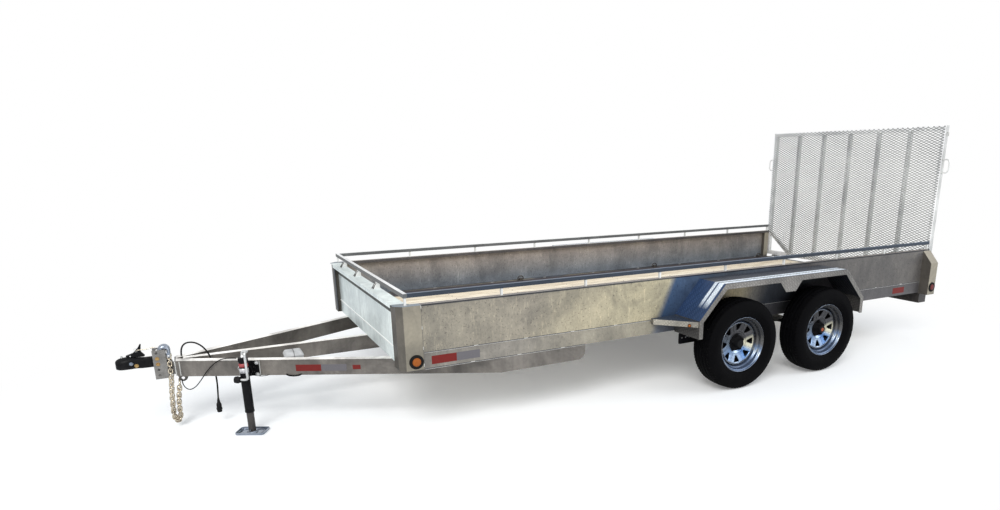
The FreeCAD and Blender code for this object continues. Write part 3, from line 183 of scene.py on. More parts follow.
# painted sunlight, shade and sky reflection along the outer wall: the place from its front to its rear and the tone
# there; the second table holds the painted light below the fender's top
wallLightTones = ((0.0, (0.90, 0.90, 0.89)), (0.170, (0.93, 0.92, 0.92)), (0.235, (1.34, 1.31, 1.18)),
              (0.349, (1.51, 1.47, 1.24)), (0.3785, (1.50, 1.47, 1.25)), (0.3900, (0.17, 0.35, 0.82)),
              (0.49, (0.25, 0.35, 0.54)), (0.59, (0.30, 0.41, 0.64)), (0.66, (0.9, 0.9, 0.95)), (0.72, (1.0, 1.0, 1.0)))
underFenderLightTones = ((0.0, (2.0, 1.85, 1.4)), (0.525, (2.0, 1.85, 1.4)), (0.553, (0.95, 0.95, 0.95)),
              (0.585, (0.16, 0.21, 0.32)), (0.66, (0.12, 0.14, 0.19)), (0.72, (0.45, 0.45, 0.5)))


# zinc spangle, mottling, drip runs and stains of hot-dip galvanised steel, with the walls' painted light and shade
def zincSkinAndLightGroup():
    tree, given, result = newGroup("zincSkinAndLight", [
        ("Light", "Color", (0.6, 0.6, 0.6, 1)), ("Dark", "Color", (0.4, 0.4, 0.4, 1)), ("Runs", "Float", 0.3),
        ("Stains", "Float", 0.3), ("Spangle", "Float", 0.1), ("Tail", "Float", 0.0), ("Inside", "Float", 0.0),
        ("Along", "Float", 0.0)],
        [("Colour", "Color"), ("Rough", "Float"), ("Height", "Float")])
    where = stretched(tree, (1, 1, 1))
    runsAt = stretched(tree, (26, 26, 2.2))
    cloud = noiseValue(tree, where, 3.2, 8, 0.62, 0.6)
    body = mixColour(tree, remap(tree, cloud, 0.36, 0.66), given["Dark"], given["Light"])
    grey = addNode(tree, "ShaderNodeRGBToBW", {"Color": cells(tree, where, 62.0, 1.0, "Color")}).outputs[0]
    lift = times(tree, calculate(tree, "SUBTRACT", grey, 0.5), given["Spangle"])
    runs = noiseValue(tree, runsAt, 1.0, 5, 0.6)
    runLift = times(tree, calculate(tree, "SUBTRACT", runs, 0.5), given["Runs"])
    level = calculate(tree, "ADD", 1.0, calculate(tree, "ADD", lift, runLift))
    toned = vectorMath(tree, "SCALE", {0: body, "Scale": level})
    spots = noiseValue(tree, where, 19, 6, 0.7)
    stain = times(tree, remap(tree, spots, 0.57, 0.68), given["Stains"])
    blots = noiseValue(tree, where, 1.4, 5, 0.6)
    stainMore = times(tree, remap(tree, blots, 0.52, 0.72), given["Stains"])
    both = calculate(tree, "MAXIMUM", stain, times(tree, stainMore, 0.8))
    stained = mixColour(tree, both, toned, (0.13, 0.12, 0.105, 1))
    # duller and bluer towards the tail; painted shade on the inner faces of the walls
    spot = split(tree, where)
    wander = times(tree, calculate(tree, "SUBTRACT", blots, 0.5), 2.2)
    tail = times(tree, clampedRange(tree, calculate(tree, "ADD", spot["X"], wander), 0.2, -1.6), given["Tail"])
    # bright scratches and dark specks of a wall in use
    slanted = stretched(tree, (46, 20, 9), where, (0.0, 0.55, 0.0))
    scratches = clampedRange(tree, noiseValue(tree, slanted, 1.0, 7, 0.68, 2.2), 0.56, 0.64)
    specks = clampedRange(tree, noiseValue(tree, where, 75, 4, 0.7), 0.575, 0.66)
    out = calculate(tree, "ABSOLUTE", spot["Y"])
    within = calculate(tree, "LESS_THAN", out, 1.0135)
    inner = times(tree, within, given["Inside"])
    outer = calculate(tree, "SUBTRACT", 1.0, inner)
    tailDulled = mixColour(tree, times(tree, tail, outer), stained, (0.42, 0.43, 0.50, 1), "MULTIPLY")
    lip = times(tree, calculate(tree, "LESS_THAN", out, 0.987), inner)
    marked = mixColour(tree, times(tree, scratches, given["Along"]), tailDulled, (1.38, 1.36, 1.30, 1), "MULTIPLY")
    marked = mixColour(tree, times(tree, specks, given["Along"]), marked, (0.46, 0.45, 0.46, 1), "MULTIPLY")
    # painted shade on the walls' inner faces, darker and bluer low down and darkest on the top flange's inner lip, and
    # a painted shade line just under the outer top edge
    innerShade = mixColour(tree, clampedRange(tree, spot["Z"], 0.60, 0.80), (0.66, 0.80, 1.10, 1), (1.02, 0.98, 1.08, 1))
    inward = mixColour(tree, inner, marked, innerShade, "MULTIPLY")
    brimShade = times(tree, clampedRange(tree, spot["Z"], 0.8385, 0.8410), times(tree, outer, given["Along"]))
    inward = mixColour(tree, brimShade, inward, (0.16, 0.18, 0.25, 1), "MULTIPLY")
    inward = mixColour(tree, lip, inward, (0.26, 0.27, 0.30, 1), "MULTIPLY")
    # painted light on the outer wall: a warm sunlit swell ahead of the fender, a cold painted sky reflection above it,
    # and painted sunlight then shade below its top
    lean = times(tree, calculate(tree, "SUBTRACT", spot["Z"], 0.7), 0.45)
    place = remap(tree, calculate(tree, "ADD", spot["X"], lean), 1.80, -3.30)
    under = times(tree, clampedRange(tree, spot["Z"], 0.735, 0.725), clampedRange(tree, spot["X"], -0.40, -0.46))
    under = times(tree, under, clampedRange(tree, spot["X"], -1.955, -1.945))
    both = mixColour(tree, under, toneRamp(tree, place, wallLightTones), toneRamp(tree, place, underFenderLightTones))
    doubled = vectorMath(tree, "SCALE", {0: both, "Scale": 2.0})
    final = mixColour(tree, times(tree, given["Along"], outer), inward, doubled, "MULTIPLY")
    tree.links.new(final, result["Colour"])
    tree.links.new(remap(tree, cloud, 0.3, 0.7, 0.34, 0.58), result["Rough"])
    fine = noiseValue(tree, where, 240, 3)
    wide = noiseValue(tree, where, 7, 3)
    height = calculate(tree, "ADD", times(tree, fine, 0.18), times(tree, wide, 1.0))
    tree.links.new(calculate(tree, "ADD", height, times(tree, runs, 0.35)), result["Height"])
    return tree


# dust and mud that thin out with height
def dustGroup():
    tree, given, result = newGroup("dust", [("Top", "Float", 0.5), ("Amount", "Float", 0.4)], [("Mask", "Float")])
    where = objectPlace(tree)
    low = split(tree, where)["Z"]
    share = calculate(tree, "SUBTRACT", 1.0, calculate(tree, "DIVIDE", low, given["Top"]))
    cloud = noiseValue(tree, where, 14, 6, 0.65)
    mask = times(tree, times(tree, share, given["Amount"]), remap(tree, cloud, 0.35, 0.65))
    tree.links.new(addNode(tree, "ShaderNodeClamp", {"Value": mask}).outputs[0], result["Mask"])
    return tree


# sawn grain along X, with a tone of its own for every plank across Y, painted sunlight over the deck and a painted
# shadow strip by the right wall
def plankGrainAndLightGroup():
    tree, given, result = newGroup("plankGrainAndLight", [("Pitch", "Float", plankPitch)],
                                   [("Colour", "Color"), ("Height", "Float")])
    where = objectPlace(tree)
    across = split(tree, where)["Y"]
    number = calculate(tree, "FLOOR", calculate(tree, "DIVIDE", across, given["Pitch"]))
    tone = addNode(tree, "ShaderNodeTexWhiteNoise", {"W": number}, noise_dimensions="1D").outputs["Value"]
    shift = addNode(tree, "ShaderNodeCombineXYZ", {"X": times(tree, number, 7.3)}).outputs[0]
    moved = vectorMath(tree, "ADD", {0: where, 1: shift})
    grain = noiseValue(tree, stretched(tree, (1.6, 26, 26), moved), 1.6, 8, 0.62, 1.4)
    fine = noiseValue(tree, stretched(tree, (6, 220, 220), moved), 1.0, 4)
    body = mixColour(tree, remap(tree, grain, 0.36, 0.66), (0.36, 0.255, 0.155, 1), (0.68, 0.54, 0.37, 1))
    weathered = mixColour(tree, remap(tree, tone, 0.0, 1.0, 0.05, 0.5), body, (0.50, 0.46, 0.40, 1))
    sawn = mixColour(tree, times(tree, remap(tree, fine, 0.52, 0.68), 0.55), weathered, (0.12, 0.085, 0.05, 1))
    sunlit = mixColour(tree, clampedRange(tree, across, -0.68, -0.36), (1.8, 1.95, 2.1, 1), (2.05, 2.40, 2.95, 1))
    shaded = mixColour(tree, clampedRange(tree, across, -0.80, -0.74), (0.14, 0.15, 0.22, 1), sunlit)
    tree.links.new(mixColour(tree, 1.0, sawn, shaded, "MULTIPLY"), result["Colour"])
    tree.links.new(calculate(tree, "ADD", grain, times(tree, fine, 0.6)), result["Height"])
    return tree


zincSkinAndLight = zincSkinAndLightGroup()
dust = dustGroup()
plankGrainAndLight = plankGrainAndLightGroup()


def newMaterial(name):
    material = bpy.data.materials.new(name)
    material.use_nodes = True
    tree = material.node_tree
    return material, tree, tree.nodes["Principled BSDF"]


def dress(shader, height, depth, values):
    # the shader's inputs and its bump
    bump = addNode(shader.id_data, "ShaderNodeBump", {"Height": height, "Distance": depth, "Strength": 1.0})
    feed(shader, {**values, "Normal": bump.outputs[0]})


def faceLitToned(tree, colour, forward, sideways, upward):
    # painted light and shade: weighs three tones by how far a face looks along each axis, a corner cut counting as
    # forward
    weighed = vectorMath(tree, "MULTIPLY", {0: geometry(tree, "True Normal"), 1: (2.6, 1.0, 1.0)})
    unit = vectorMath(tree, "NORMALIZE", {0: weighed})
    share = split(tree, vectorMath(tree, "MULTIPLY", {0: unit, 1: unit}))
    total = None
    for axis, tone in zip("XYZ", (forward, sideways, upward)):
        part = vectorMath(tree, "SCALE", {0: tone, "Scale": share[axis]})
        total = vectorMath(tree, "ADD", {0: total, 1: part}) if total else part
    return mixColour(tree, 1.0, colour, total, "MULTIPLY")


# lit and shaded copies of one hot-dip galvanised finish, their tones painted with light and shade: dark for the tongue
# rails, the near tie rail and the pieces under the body, pale and bluish for the sky-lit front panel
# name: (light, dark, runs, stains, spangle, metallic, bump in metres, duller to the tail, painted shade inside)
zincFinishes = {
    "galvWall": ((0.385, 0.350, 0.280, 1), (0.205, 0.190, 0.160, 1), 0.30, 0.45, 0.14, 0.35, 0.004, 1.0, 1.0),
    "galvSideRail": ((0.300, 0.280, 0.245, 1), (0.165, 0.155, 0.140, 1), 0.35, 0.45, 0.14, 0.35, 0.004, 1.0, 0.0),
    "galvPost": ((0.255, 0.235, 0.200, 1), (0.145, 0.135, 0.118, 1), 0.30, 0.35, 0.14, 0.35, 0.003, 0.0, 0.0),
    "galvRail": ((0.275, 0.262, 0.245, 1), (0.105, 0.100, 0.095, 1), 0.60, 0.40, 0.16, 0.45, 0.003, 0.0, 0.0),
    "galvPanel": ((0.86, 0.925, 0.91, 1), (0.60, 0.665, 0.665, 1), 0.45, 0.10, 0.10, 0.25, 0.003, 0.0, 0.0),
    "galvBright": ((0.84, 0.845, 0.83, 1), (0.64, 0.645, 0.64, 1), 0.15, 0.08, 0.08, 0.3, 0.001, 0.0, 0.0),
    "galvTie": ((0.52, 0.525, 0.525, 1), (0.36, 0.365, 0.37, 1), 0.15, 0.10, 0.08, 0.35, 0.001, 0.0, 0.0),
    "galvTieNear": ((0.145, 0.175, 0.215, 1), (0.095, 0.118, 0.150, 1), 0.15, 0.10, 0.08, 0.35, 0.001, 0.0, 0.0),
    "galvMesh": ((0.43, 0.44, 0.43, 1), (0.28, 0.29, 0.29, 1), 0.30, 0.10, 0.08, 0.30, 0.001, 0.0, 0.0),
    "galvFrame": ((0.66, 0.66, 0.645, 1), (0.46, 0.46, 0.45, 1), 0.3, 0.20, 0.12, 0.35, 0.002, 0.0, 0.0),
    "galvDullShaded": ((0.16, 0.158, 0.155, 1), (0.085, 0.083, 0.080, 1), 0.3, 0.4, 0.1, 0.4, 0.003, 0.0, 0.0),
}
# how much of the painted light along the wall, with its scratches and specks, a finish takes, and its painted light and
# shade on faces that look forward, sideways, up
zincAlong = {"galvWall": 1.0, "galvSideRail": 0.55}
zincFaceLight = {"galvPost": ((0.45, 0.44, 0.44), (1.36, 1.33, 1.22), (1.0, 1.0, 1.0)),
             "galvRail": ((0.82, 0.79, 0.76), (0.82, 0.79, 0.76), (5.4, 5.5, 5.6)),
             "galvFrame": ((1.9, 1.9, 1.97), (1.0, 1.0, 1.0), (1.2, 1.2, 1.2)),
             "galvTieNear": ((0.8, 0.8, 0.8), (0.26, 0.29, 0.34), (0.62, 0.70, 0.84)),
             "galvTie": ((0.26, 0.255, 0.25), (0.27, 0.28, 0.29), (1.75, 1.75, 1.75))}
# a stretch across the trailer with painted light of its own: (from, to, tone), on the right side only for the posts;
# painted shade on the right post's return and the front panel's ends, a painted highlight strip on the near tie rail
zincLightSpans = {"galvPost": (0.0, 0.906, (0.30, 0.30, 0.31)), "galvPanel": (0.935, 1.02, (0.30, 0.32, 0.37)),
             "galvTieNear": (0.9895, 0.9975, (1.9, 1.9, 1.95))}


def zincMaterial(name):
    light, dark, runs, stains, spangle, metallic, depth, tail, inside = zincFinishes[name]
    material, tree, shader = newMaterial(name)
    skin = useGroup(tree, zincSkinAndLight, light=light, dark=dark, runs=runs, stains=stains, spangle=spangle, tail=tail,
                    inside=inside, along=zincAlong.get(name, 0.0))
    colour = faceLitToned(tree, skin["Colour"], *zincFaceLight[name]) if name in zincFaceLight else skin["Colour"]
    if name in zincLightSpans:
        low, high, tone = zincLightSpans[name]
        out = split(tree, objectPlace(tree))["Y"]
        out = times(tree, out, -1) if name == "galvPost" else calculate(tree, "ABSOLUTE", out)
        span = times(tree, clampedRange(tree, out, low - 0.001, low + 0.001),
                     clampedRange(tree, out, high + 0.001, high - 0.001))
        colour = mixColour(tree, span, colour, (*tone, 1), "MULTIPLY")
    dress(shader, skin["Height"], depth, {"Base Color": colour, "Roughness": skin["Rough"], "Metallic": metallic})
    return material


# tread plate tones, mostly painted light: dark sky reflection on the tops, step and slope, painted highlight bands
# along the top's outer part, painted shade on the ends and below
treadPlate = {"flat": (0.040, 0.047, 0.064, 1), "step": (0.040, 0.055, 0.085, 1), "slope": (0.026, 0.058, 0.140, 1),
              "highlightBand": (0.78, 0.86, 0.95, 1), "bands": ((1.178, 1.208), (1.222, 1.268)), "highlightBandsFrom": 0.700,
              "stepSide": (1.15, 1.10, 0.98, 1), "side": (0.62, 0.60, 0.58, 1), "ends": (0.42, 0.42, 0.43, 1),
              "below": (0.012, 0.014, 0.020, 1), "grime": (0.82, 0.82, 0.82, 1), "worn": (1.9, 1.9, 1.9, 1)}


def treadPlateMaterial():
    # small raised lozenges on galvanised sheet; its tops, slopes, sides and ends each take painted light of their own,
    # with a lit side by the step and painted shade below
    s = treadPlate
    material, tree, shader = newMaterial("treadPlate")
    skin = useGroup(tree, zincSkinAndLight, light=(0.36, 0.355, 0.345, 1), dark=(0.20, 0.198, 0.195, 1), runs=0.2, stains=0.25,
                    spangle=0.12, tail=0.0, inside=0.0)
    faces = split(tree, geometry(tree, "True Normal"))
    where = objectPlace(tree)
    spot = split(tree, where)
    out = calculate(tree, "ABSOLUTE", spot["Y"])
    along = calculate(tree, "ABSOLUTE", faces["X"])
    high = clampedRange(tree, spot["Z"], s["highlightBandsFrom"] - 0.05, s["highlightBandsFrom"])
    highlightBand = None
    for inside, outside in s["bands"]:
        strip = times(tree, clampedRange(tree, out, inside - 0.002, inside + 0.002),
                      clampedRange(tree, out, outside + 0.002, outside - 0.002))
        highlightBand = calculate(tree, "MAXIMUM", highlightBand, strip) if highlightBand else strip
    tops = mixColour(tree, clampedRange(tree, spot["Z"], 0.60, 0.66), s["step"], s["flat"])
    tops = mixColour(tree, clampedRange(tree, along, 0.2, 0.5), tops, s["slope"])
    tops = mixColour(tree, times(tree, highlightBand, high), tops, s["highlightBand"])
    onStep = times(tree, clampedRange(tree, spot["Z"], 0.528, 0.532), clampedRange(tree, spot["Z"], 0.573, 0.571))
    onStep = times(tree, onStep, clampedRange(tree, spot["X"], -0.255, -0.250))
    sides = mixColour(tree, 1.0, skin["Colour"], mixColour(tree, onStep, s["side"], s["stepSide"]), "MULTIPLY")
    sides = mixColour(tree, clampedRange(tree, along, 0.75, 0.9), sides, s["ends"], "MULTIPLY")
    grain = addNode(tree, "ShaderNodeSeparateColor", {"Color": skin["Colour"]}, mode="HSV").outputs[2]
    grimy = mixColour(tree, 1.0, tops, s["grime"], "MULTIPLY")
    upper = mixColour(tree, clampedRange(tree, grain, 0.20, 0.36), grimy, tops)
    sides = mixColour(tree, clampedRange(tree, faces["Z"], -0.15, -0.35), sides, s["below"])
    toned = mixColour(tree, clampedRange(tree, faces["Z"], 0.25, 0.6), sides, upper)
    turned = stretched(tree, (1.0, 1.0, 1.0), where, (0.7, 0.5, 0.78))
    bars = remap(tree, cells(tree, turned, 62.0, 0.12, distance="CHEBYCHEV"), 0.22, 0.40, 1.0, 0.0)
    raised = addNode(tree, "ShaderNodeClamp", {"Value": bars}).outputs[0]
    worn = mixColour(tree, times(tree, raised, 0.5), toned, s["worn"], "MULTIPLY")
    dress(shader, calculate(tree, "ADD", bars, times(tree, skin["Height"], 0.4)), 0.0022,
          {"Base Color": worn, "Roughness": skin["Rough"], "Metallic": 0.45})
    return material


def paintMaterial(name, colour, roughness, metallic, grain, depth, worn, coat):
    # an even finish broken by fine grain and a worn tone, a darker one where none is given
    material, tree, shader = newMaterial(name)
    where = objectPlace(tree)
    cloud = noiseValue(tree, where, 24, 5, 0.6)
    other = worn or tuple(0.72 * c for c in colour)
    dress(shader, noiseValue(tree, where, grain, 3), depth, {
        "Base Color": mixColour(tree, remap(tree, cloud, 0.4, 0.75), (*colour, 1), (*other, 1)),
        "Roughness": remap(tree, cloud, 0.3, 0.7, roughness * 0.85, min(1, roughness * 1.2)),
        "Metallic": metallic, "Coat Weight": coat})
    return material


def tyreMaterial():
    material, tree, shader = newMaterial("tyreRubber")
    where = objectPlace(tree)
    cloud = noiseValue(tree, where, 30, 5, 0.6)
    body = mixColour(tree, remap(tree, cloud, 0.35, 0.7), (0.0006, 0.0006, 0.0010, 1), (0.0020, 0.0020, 0.0026, 1))
    mask = useGroup(tree, dust, top=0.30, amount=0.05)["Mask"]
    dress(shader, noiseValue(tree, where, 420, 2), 0.0004, {
        "Base Color": mixColour(tree, mask, body, (0.05, 0.046, 0.042, 1)),
        "Roughness": remap(tree, cloud, 0.3, 0.7, 0.60, 0.80), "Specular IOR Level": 0.05})
    return material


def fillRamp(ramp, tones):
    elements = ramp.color_ramp.elements
    for step, (where, colour) in enumerate(tones):
        element = elements[step] if step < 2 else elements.new(where)
        element.position, element.color = where, (*colour, 1)


# painted reflection on the rim by how far a face looks up
rimReflectionTones = ((0.0, (0.026, 0.026, 0.028)), (1.0, (0.060, 0.085, 0.14)), (0.34, (0.026, 0.026, 0.028)),
            (0.46, (0.080, 0.078, 0.076)), (0.58, (0.105, 0.105, 0.11)), (0.72, (0.17, 0.25, 0.40)),
            (0.80, (0.46, 0.50, 0.52)), (0.88, (0.10, 0.16, 0.28)))
# painted light and reflection on the flat disc round the hub, from the side ahead through below, behind and above
discLightTones = ((0.0, (0.11, 0.14, 0.18)), (1.0, (0.11, 0.14, 0.18)), (0.12, (0.17, 0.27, 0.46)),
             (0.25, (0.44, 0.55, 0.70)), (0.345, (0.12, 0.27, 0.60)), (0.41, (0.22, 0.36, 0.60)),
             (0.45, (0.66, 0.64, 0.50)), (0.52, (0.66, 0.63, 0.48)), (0.56, (0.07, 0.07, 0.075)),
             (0.70, (0.045, 0.045, 0.05)), (0.86, (0.04, 0.04, 0.045)))
wheelCentres = {"front": ahead(-axlesBehind[0], 0, 0).x, "apart": axlesBehind[1] - axlesBehind[0], "height": 0.340}


def rimMaterial():
    # silver paint with painted reflections: the ground's dark below and the sky's blue above
    material, tree, shader = newMaterial("silverPaintReflections")
    up = split(tree, geometry(tree, "Normal"))["Z"]
    ramp = addNode(tree, "ShaderNodeValToRGB", {"Fac": remap(tree, up, -0.6, 0.6)})
    fillRamp(ramp, rimReflectionTones)
    # the flat disc has painted shade above and painted light below, told by the place round the hub
    place = split(tree, geometry(tree, "Position"))
    across = calculate(tree, "WRAP", calculate(tree, "SUBTRACT", place["X"], wheelCentres["front"]),
                       wheelCentres["apart"] / 2, -wheelCentres["apart"] / 2)
    above = calculate(tree, "SUBTRACT", place["Z"], wheelCentres["height"])
    angle = calculate(tree, "ARCTAN2", above, times(tree, across, -1))
    disc = addNode(tree, "ShaderNodeValToRGB", {"Fac": remap(tree, angle, -math.pi, math.pi)})
    fillRamp(disc, discLightTones)
    reach = calculate(tree, "SQRT", calculate(tree, "ADD", times(tree, above, above), times(tree, across, across)))
    onDisc = clampedRange(tree, reach, 0.152, 0.149)
    where = objectPlace(tree)
    cloud = noiseValue(tree, where, 40, 4, 0.6)
    dress(shader, noiseValue(tree, where, 220, 3), 0.00003, {
        "Base Color": mixColour(tree, onDisc, ramp.outputs[0], disc.outputs[0]),
        "Roughness": remap(tree, cloud, 0.3, 0.7, 0.22, 0.34), "Metallic": 0.5, "Coat Weight": 0.05})
    return material


def woodMaterial():
    material, tree, shader = newMaterial("plankWood")
    grain = useGroup(tree, plankGrainAndLight, pitch=plankPitch)
    dress(shader, grain["Height"], 0.0022, {"Base Color": grain["Colour"], "Roughness": 0.82})
    return material


def cellMaterial(name, colour, rimShare, middleShare, scale, reach, depth, values, **settings):
    # a clear face over fine cells: a honeycomb in the tapes, facets in the lenses
    material, tree, shader = newMaterial(name)
    facets = remap(tree, cells(tree, objectPlace(tree), scale, 0.0, **settings), 0.0, reach)
    tones = [(*[share * c for c in colour], 1) for share in (rimShare, middleShare)]
    dress(shader, facets, depth, {**values, "Base Color": mixColour(tree, facets, *tones)})
    return material


def tapeMaterial(name, colour):
    return cellMaterial(name, colour, 0.75, 1.0, 260.0, 0.12, 0.0002, {
        "Roughness": 0.5, "Specular IOR Level": 0.3, "Coat Weight": 0.1}, feature="DISTANCE_TO_EDGE")


def lensMaterial(name, colour):
    return cellMaterial(name, colour, 1.0, 0.6, 320.0, 0.6, 0.0006, {
        "Roughness": 0.30, "Specular IOR Level": 0.25, "Coat Weight": 0.25, "Coat Roughness": 0.08})


finish = {name: zincMaterial(name) for name in zincFinishes}
finish["treadPlate"] = treadPlateMaterial()
finish["tyreRubber"] = tyreMaterial()
finish["plankWood"] = woodMaterial()
finish["silverPaintReflections"] = rimMaterial()
finish["redTape"] = tapeMaterial("redTape", (0.150, 0.004, 0.002))
finish["whiteTape"] = tapeMaterial("whiteTape", (0.128, 0.122, 0.134))
finish["redLens"] = lensMaterial("redLens", (0.17, 0.005, 0.005))
finish["amberLens"] = lensMaterial("amberLens", (0.42, 0.105, 0.002))
# name: (colour, roughness, metallic, grain scale, bump in metres, worn colour, coat)
paints = {
    "blackPaint": ((0.005, 0.005, 0.006), 0.45, 0.0, 90, 0.0004, (0.011, 0.011, 0.012), 0.03),
    "zincPlate": ((0.68, 0.69, 0.69), 0.30, 0.9, 150, 0.0003, (0.45, 0.45, 0.44), 0.0),
    "yellowZinc": ((0.40, 0.25, 0.11), 0.34, 0.85, 150, 0.0003, (0.42, 0.30, 0.12), 0.0),
    "chainZinc": ((0.66, 0.59, 0.47), 0.24, 0.85, 150, 0.0003, (0.26, 0.22, 0.17), 0.0),
    "hookZinc": ((0.25, 0.29, 0.35), 0.22, 0.9, 150, 0.0002, (0.40, 0.43, 0.50), 0.1),
    "hubBlack": ((0.004, 0.004, 0.005), 0.75, 0.0, 150, 0.0002, (0.012, 0.012, 0.013), 0.0),
    "whiteJoint": ((0.93, 0.94, 0.92), 0.5, 0.1, 90, 0.0002, (0.85, 0.87, 0.85), 0.0),
    "rimEdge": ((0.50, 0.485, 0.43), 0.28, 0.6, 150, 0.0001, (0.38, 0.37, 0.34), 0.1),
    # the next two are painted light: shadow under the front cap's lip, then a highlight along the wall seams
    "capShadowGrey": ((0.062, 0.066, 0.062), 0.6, 0.2, 60, 0.0005, (0.075, 0.078, 0.074), 0.0),
    "seamEdgeHighlight": ((0.60, 0.59, 0.56), 0.45, 0.4, 80, 0.0003, (0.42, 0.41, 0.39), 0.0),
    "blackPlastic": ((0.008, 0.008, 0.009), 0.48, 0.0, 260, 0.0003, None, 0.0),
    "blackRubber": ((0.010, 0.010, 0.010), 0.60, 0.0, 260, 0.0002, None, 0.0),
    "greyPlastic": ((0.55, 0.56, 0.57), 0.45, 0.0, 200, 0.0002, None, 0.0),
    "darkSteel": ((0.055, 0.055, 0.058), 0.5, 0.6, 90, 0.0005, (0.11, 0.09, 0.07), 0.0),
    "seamShadow": ((0.018, 0.022, 0.032), 0.6, 0.3, 60, 0.0005, (0.06, 0.065, 0.08), 0.0),
    "weldZinc": ((0.60, 0.60, 0.58), 0.42, 0.7, 400, 0.0006, (0.42, 0.42, 0.41), 0.0),
    "orangePlug": ((0.30, 0.060, 0.016), 0.6, 0.0, 200, 0.0002, None, 0.0),
    "bracketZinc": ((0.215, 0.208, 0.198), 0.45, 0.25, 70, 0.0004, (0.13, 0.125, 0.12), 0.0),
    "labelRed": ((0.36, 0.050, 0.055), 0.4, 0.0, 200, 0.0001, None, 0.1),
    "darkTube": ((0.062, 0.055, 0.052), 0.3, 0.4, 90, 0.0002, (0.03, 0.028, 0.028), 0.0),
    "labelSilver": ((0.62, 0.62, 0.64), 0.35, 0.3, 200, 0.0001, None, 0.2)}
for name, sizes in paints.items():
    finish[name] = paintMaterial(name, *sizes)
for name, shine in {"hubBlack": 0.06, "blackPaint": 0.07, "blackPlastic": 0.15, "blackRubber": 0.08}.items():
    finish[name].node_tree.nodes["Principled BSDF"].inputs["Specular IOR Level"].default_value = shine
print("materials made:", len(finish))


# mesh helpers
def linked(name, data, body):
    # object of a mesh or curve, in the scene and riding on its body
    item = bpy.data.objects.new(name, data)
    bpy.context.collection.objects.link(item)
    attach(item, body)
    return item


def sheeted(piece, thickness, offset=-1.0):
    sheet = piece.modifiers.new("sheet", "SOLIDIFY")
    sheet.thickness, sheet.offset = thickness, offset


def circle(steps, turn=0.0):
    # (cosine, sine) of places round a circle
    return [(math.cos(turn + 2 * math.pi * k / steps), math.sin(turn + 2 * math.pi * k / steps)) for k in range(steps)]


class Shape:
    # points and faces that grow part by part
    def __init__(self):
        self.points, self.faces = [], []

    def add(self, points, faces, place=None):
        start = len(self.points)
        self.points += [place @ Vector(p) if place else Vector(p) for p in points]
        self.faces += [[start + i for i in face] for face in faces]
        return self

    def box(self, *sizes, place=None):
        return self.add(*boxShape(*sizes), place)

    def lathe(self, *sizes, place=None, **more):
        return self.add(*latheShape(*sizes, **more), place)

    def tube(self, *sizes, place=None, **more):
        return self.add(*tubeShape(*sizes, **more), place)

    def hexBolt(self, *sizes, place=None):
        return self.add(*hexBoltShape(*sizes), place)

    def ring(self, *sizes, place=None):
        return self.add(*ringFaces(*sizes), place)

    def loft(self, *sizes, place=None, **more):
        return self.add(*loftShape(*sizes, **more), place)

    def weld(self, *sizes):
        return self.add(*weldBead(*sizes))

    def plate(self, outline, thick, x, y, corner=0.0, steps=3):
        # outline in X and Z from a place ahead of the box front, its corners rounded, its thickness across Y
        if corner:
            outline = [p.xy for p in roundedLine([(a, z, 0) for a, z in outline], corner, steps, closed=True)]
        points, faces = prismShape(outline, thick)
        return self.add([ahead(x + a, y + depth, z) for a, z, depth in points], faces)

    def piece(self, name, material, body="trailer", smooth=0.6):
        mesh = bpy.data.meshes.new(name)
        mesh.from_pydata([tuple(p) for p in self.points], [], self.faces)
        mesh.materials.append(finish[material])
        mesh.update()
        if smooth:
            mesh.polygons.foreach_set("use_smooth", [True] * len(mesh.polygons))
            mesh.set_sharp_from_angle(angle=smooth)
        return linked(name, mesh, body)


def facing(place, normal, up=(0, 0, 1)):
    # matrix that puts local +Z along the normal
    z = Vector(normal).normalized()
    x = Vector(up).cross(z)
    x = x.normalized() if x.length > 0.01 else Vector((1, 0, 0))
    y = z.cross(x)
    return Matrix.Translation(place) @ Matrix((x, y, z)).transposed().to_4x4()


def latheShape(profile, steps, closed=False):
    # profile of (radius, height) turned about Z
    count = len(profile)
    points = [(r * c, r * s, z) for c, s in circle(steps) for r, z in profile]
    faces = []
    for k in range(steps):
        here, after = k * count, (k + 1) % steps * count
        for i in range(count if closed else count - 1):
            j = (i + 1) % count
            faces.append([here + i, after + i, after + j, here + j])
    return points, faces


def loftShape(rings, wrap=False, caps=True):
    # faces from each ring of points to the next
    count, total = len(rings[0]), len(rings)
    faces = []
    for j in range(total if wrap else total - 1):
        here, after = j * count, (j + 1) % total * count
        faces += [[here + i, here + (i + 1) % count, after + (i + 1) % count, after + i] for i in range(count)]
    if caps and not wrap:
        faces += [list(range(count))[::-1], list(range((total - 1) * count, total * count))]
    return [point for ring in rings for point in ring], faces


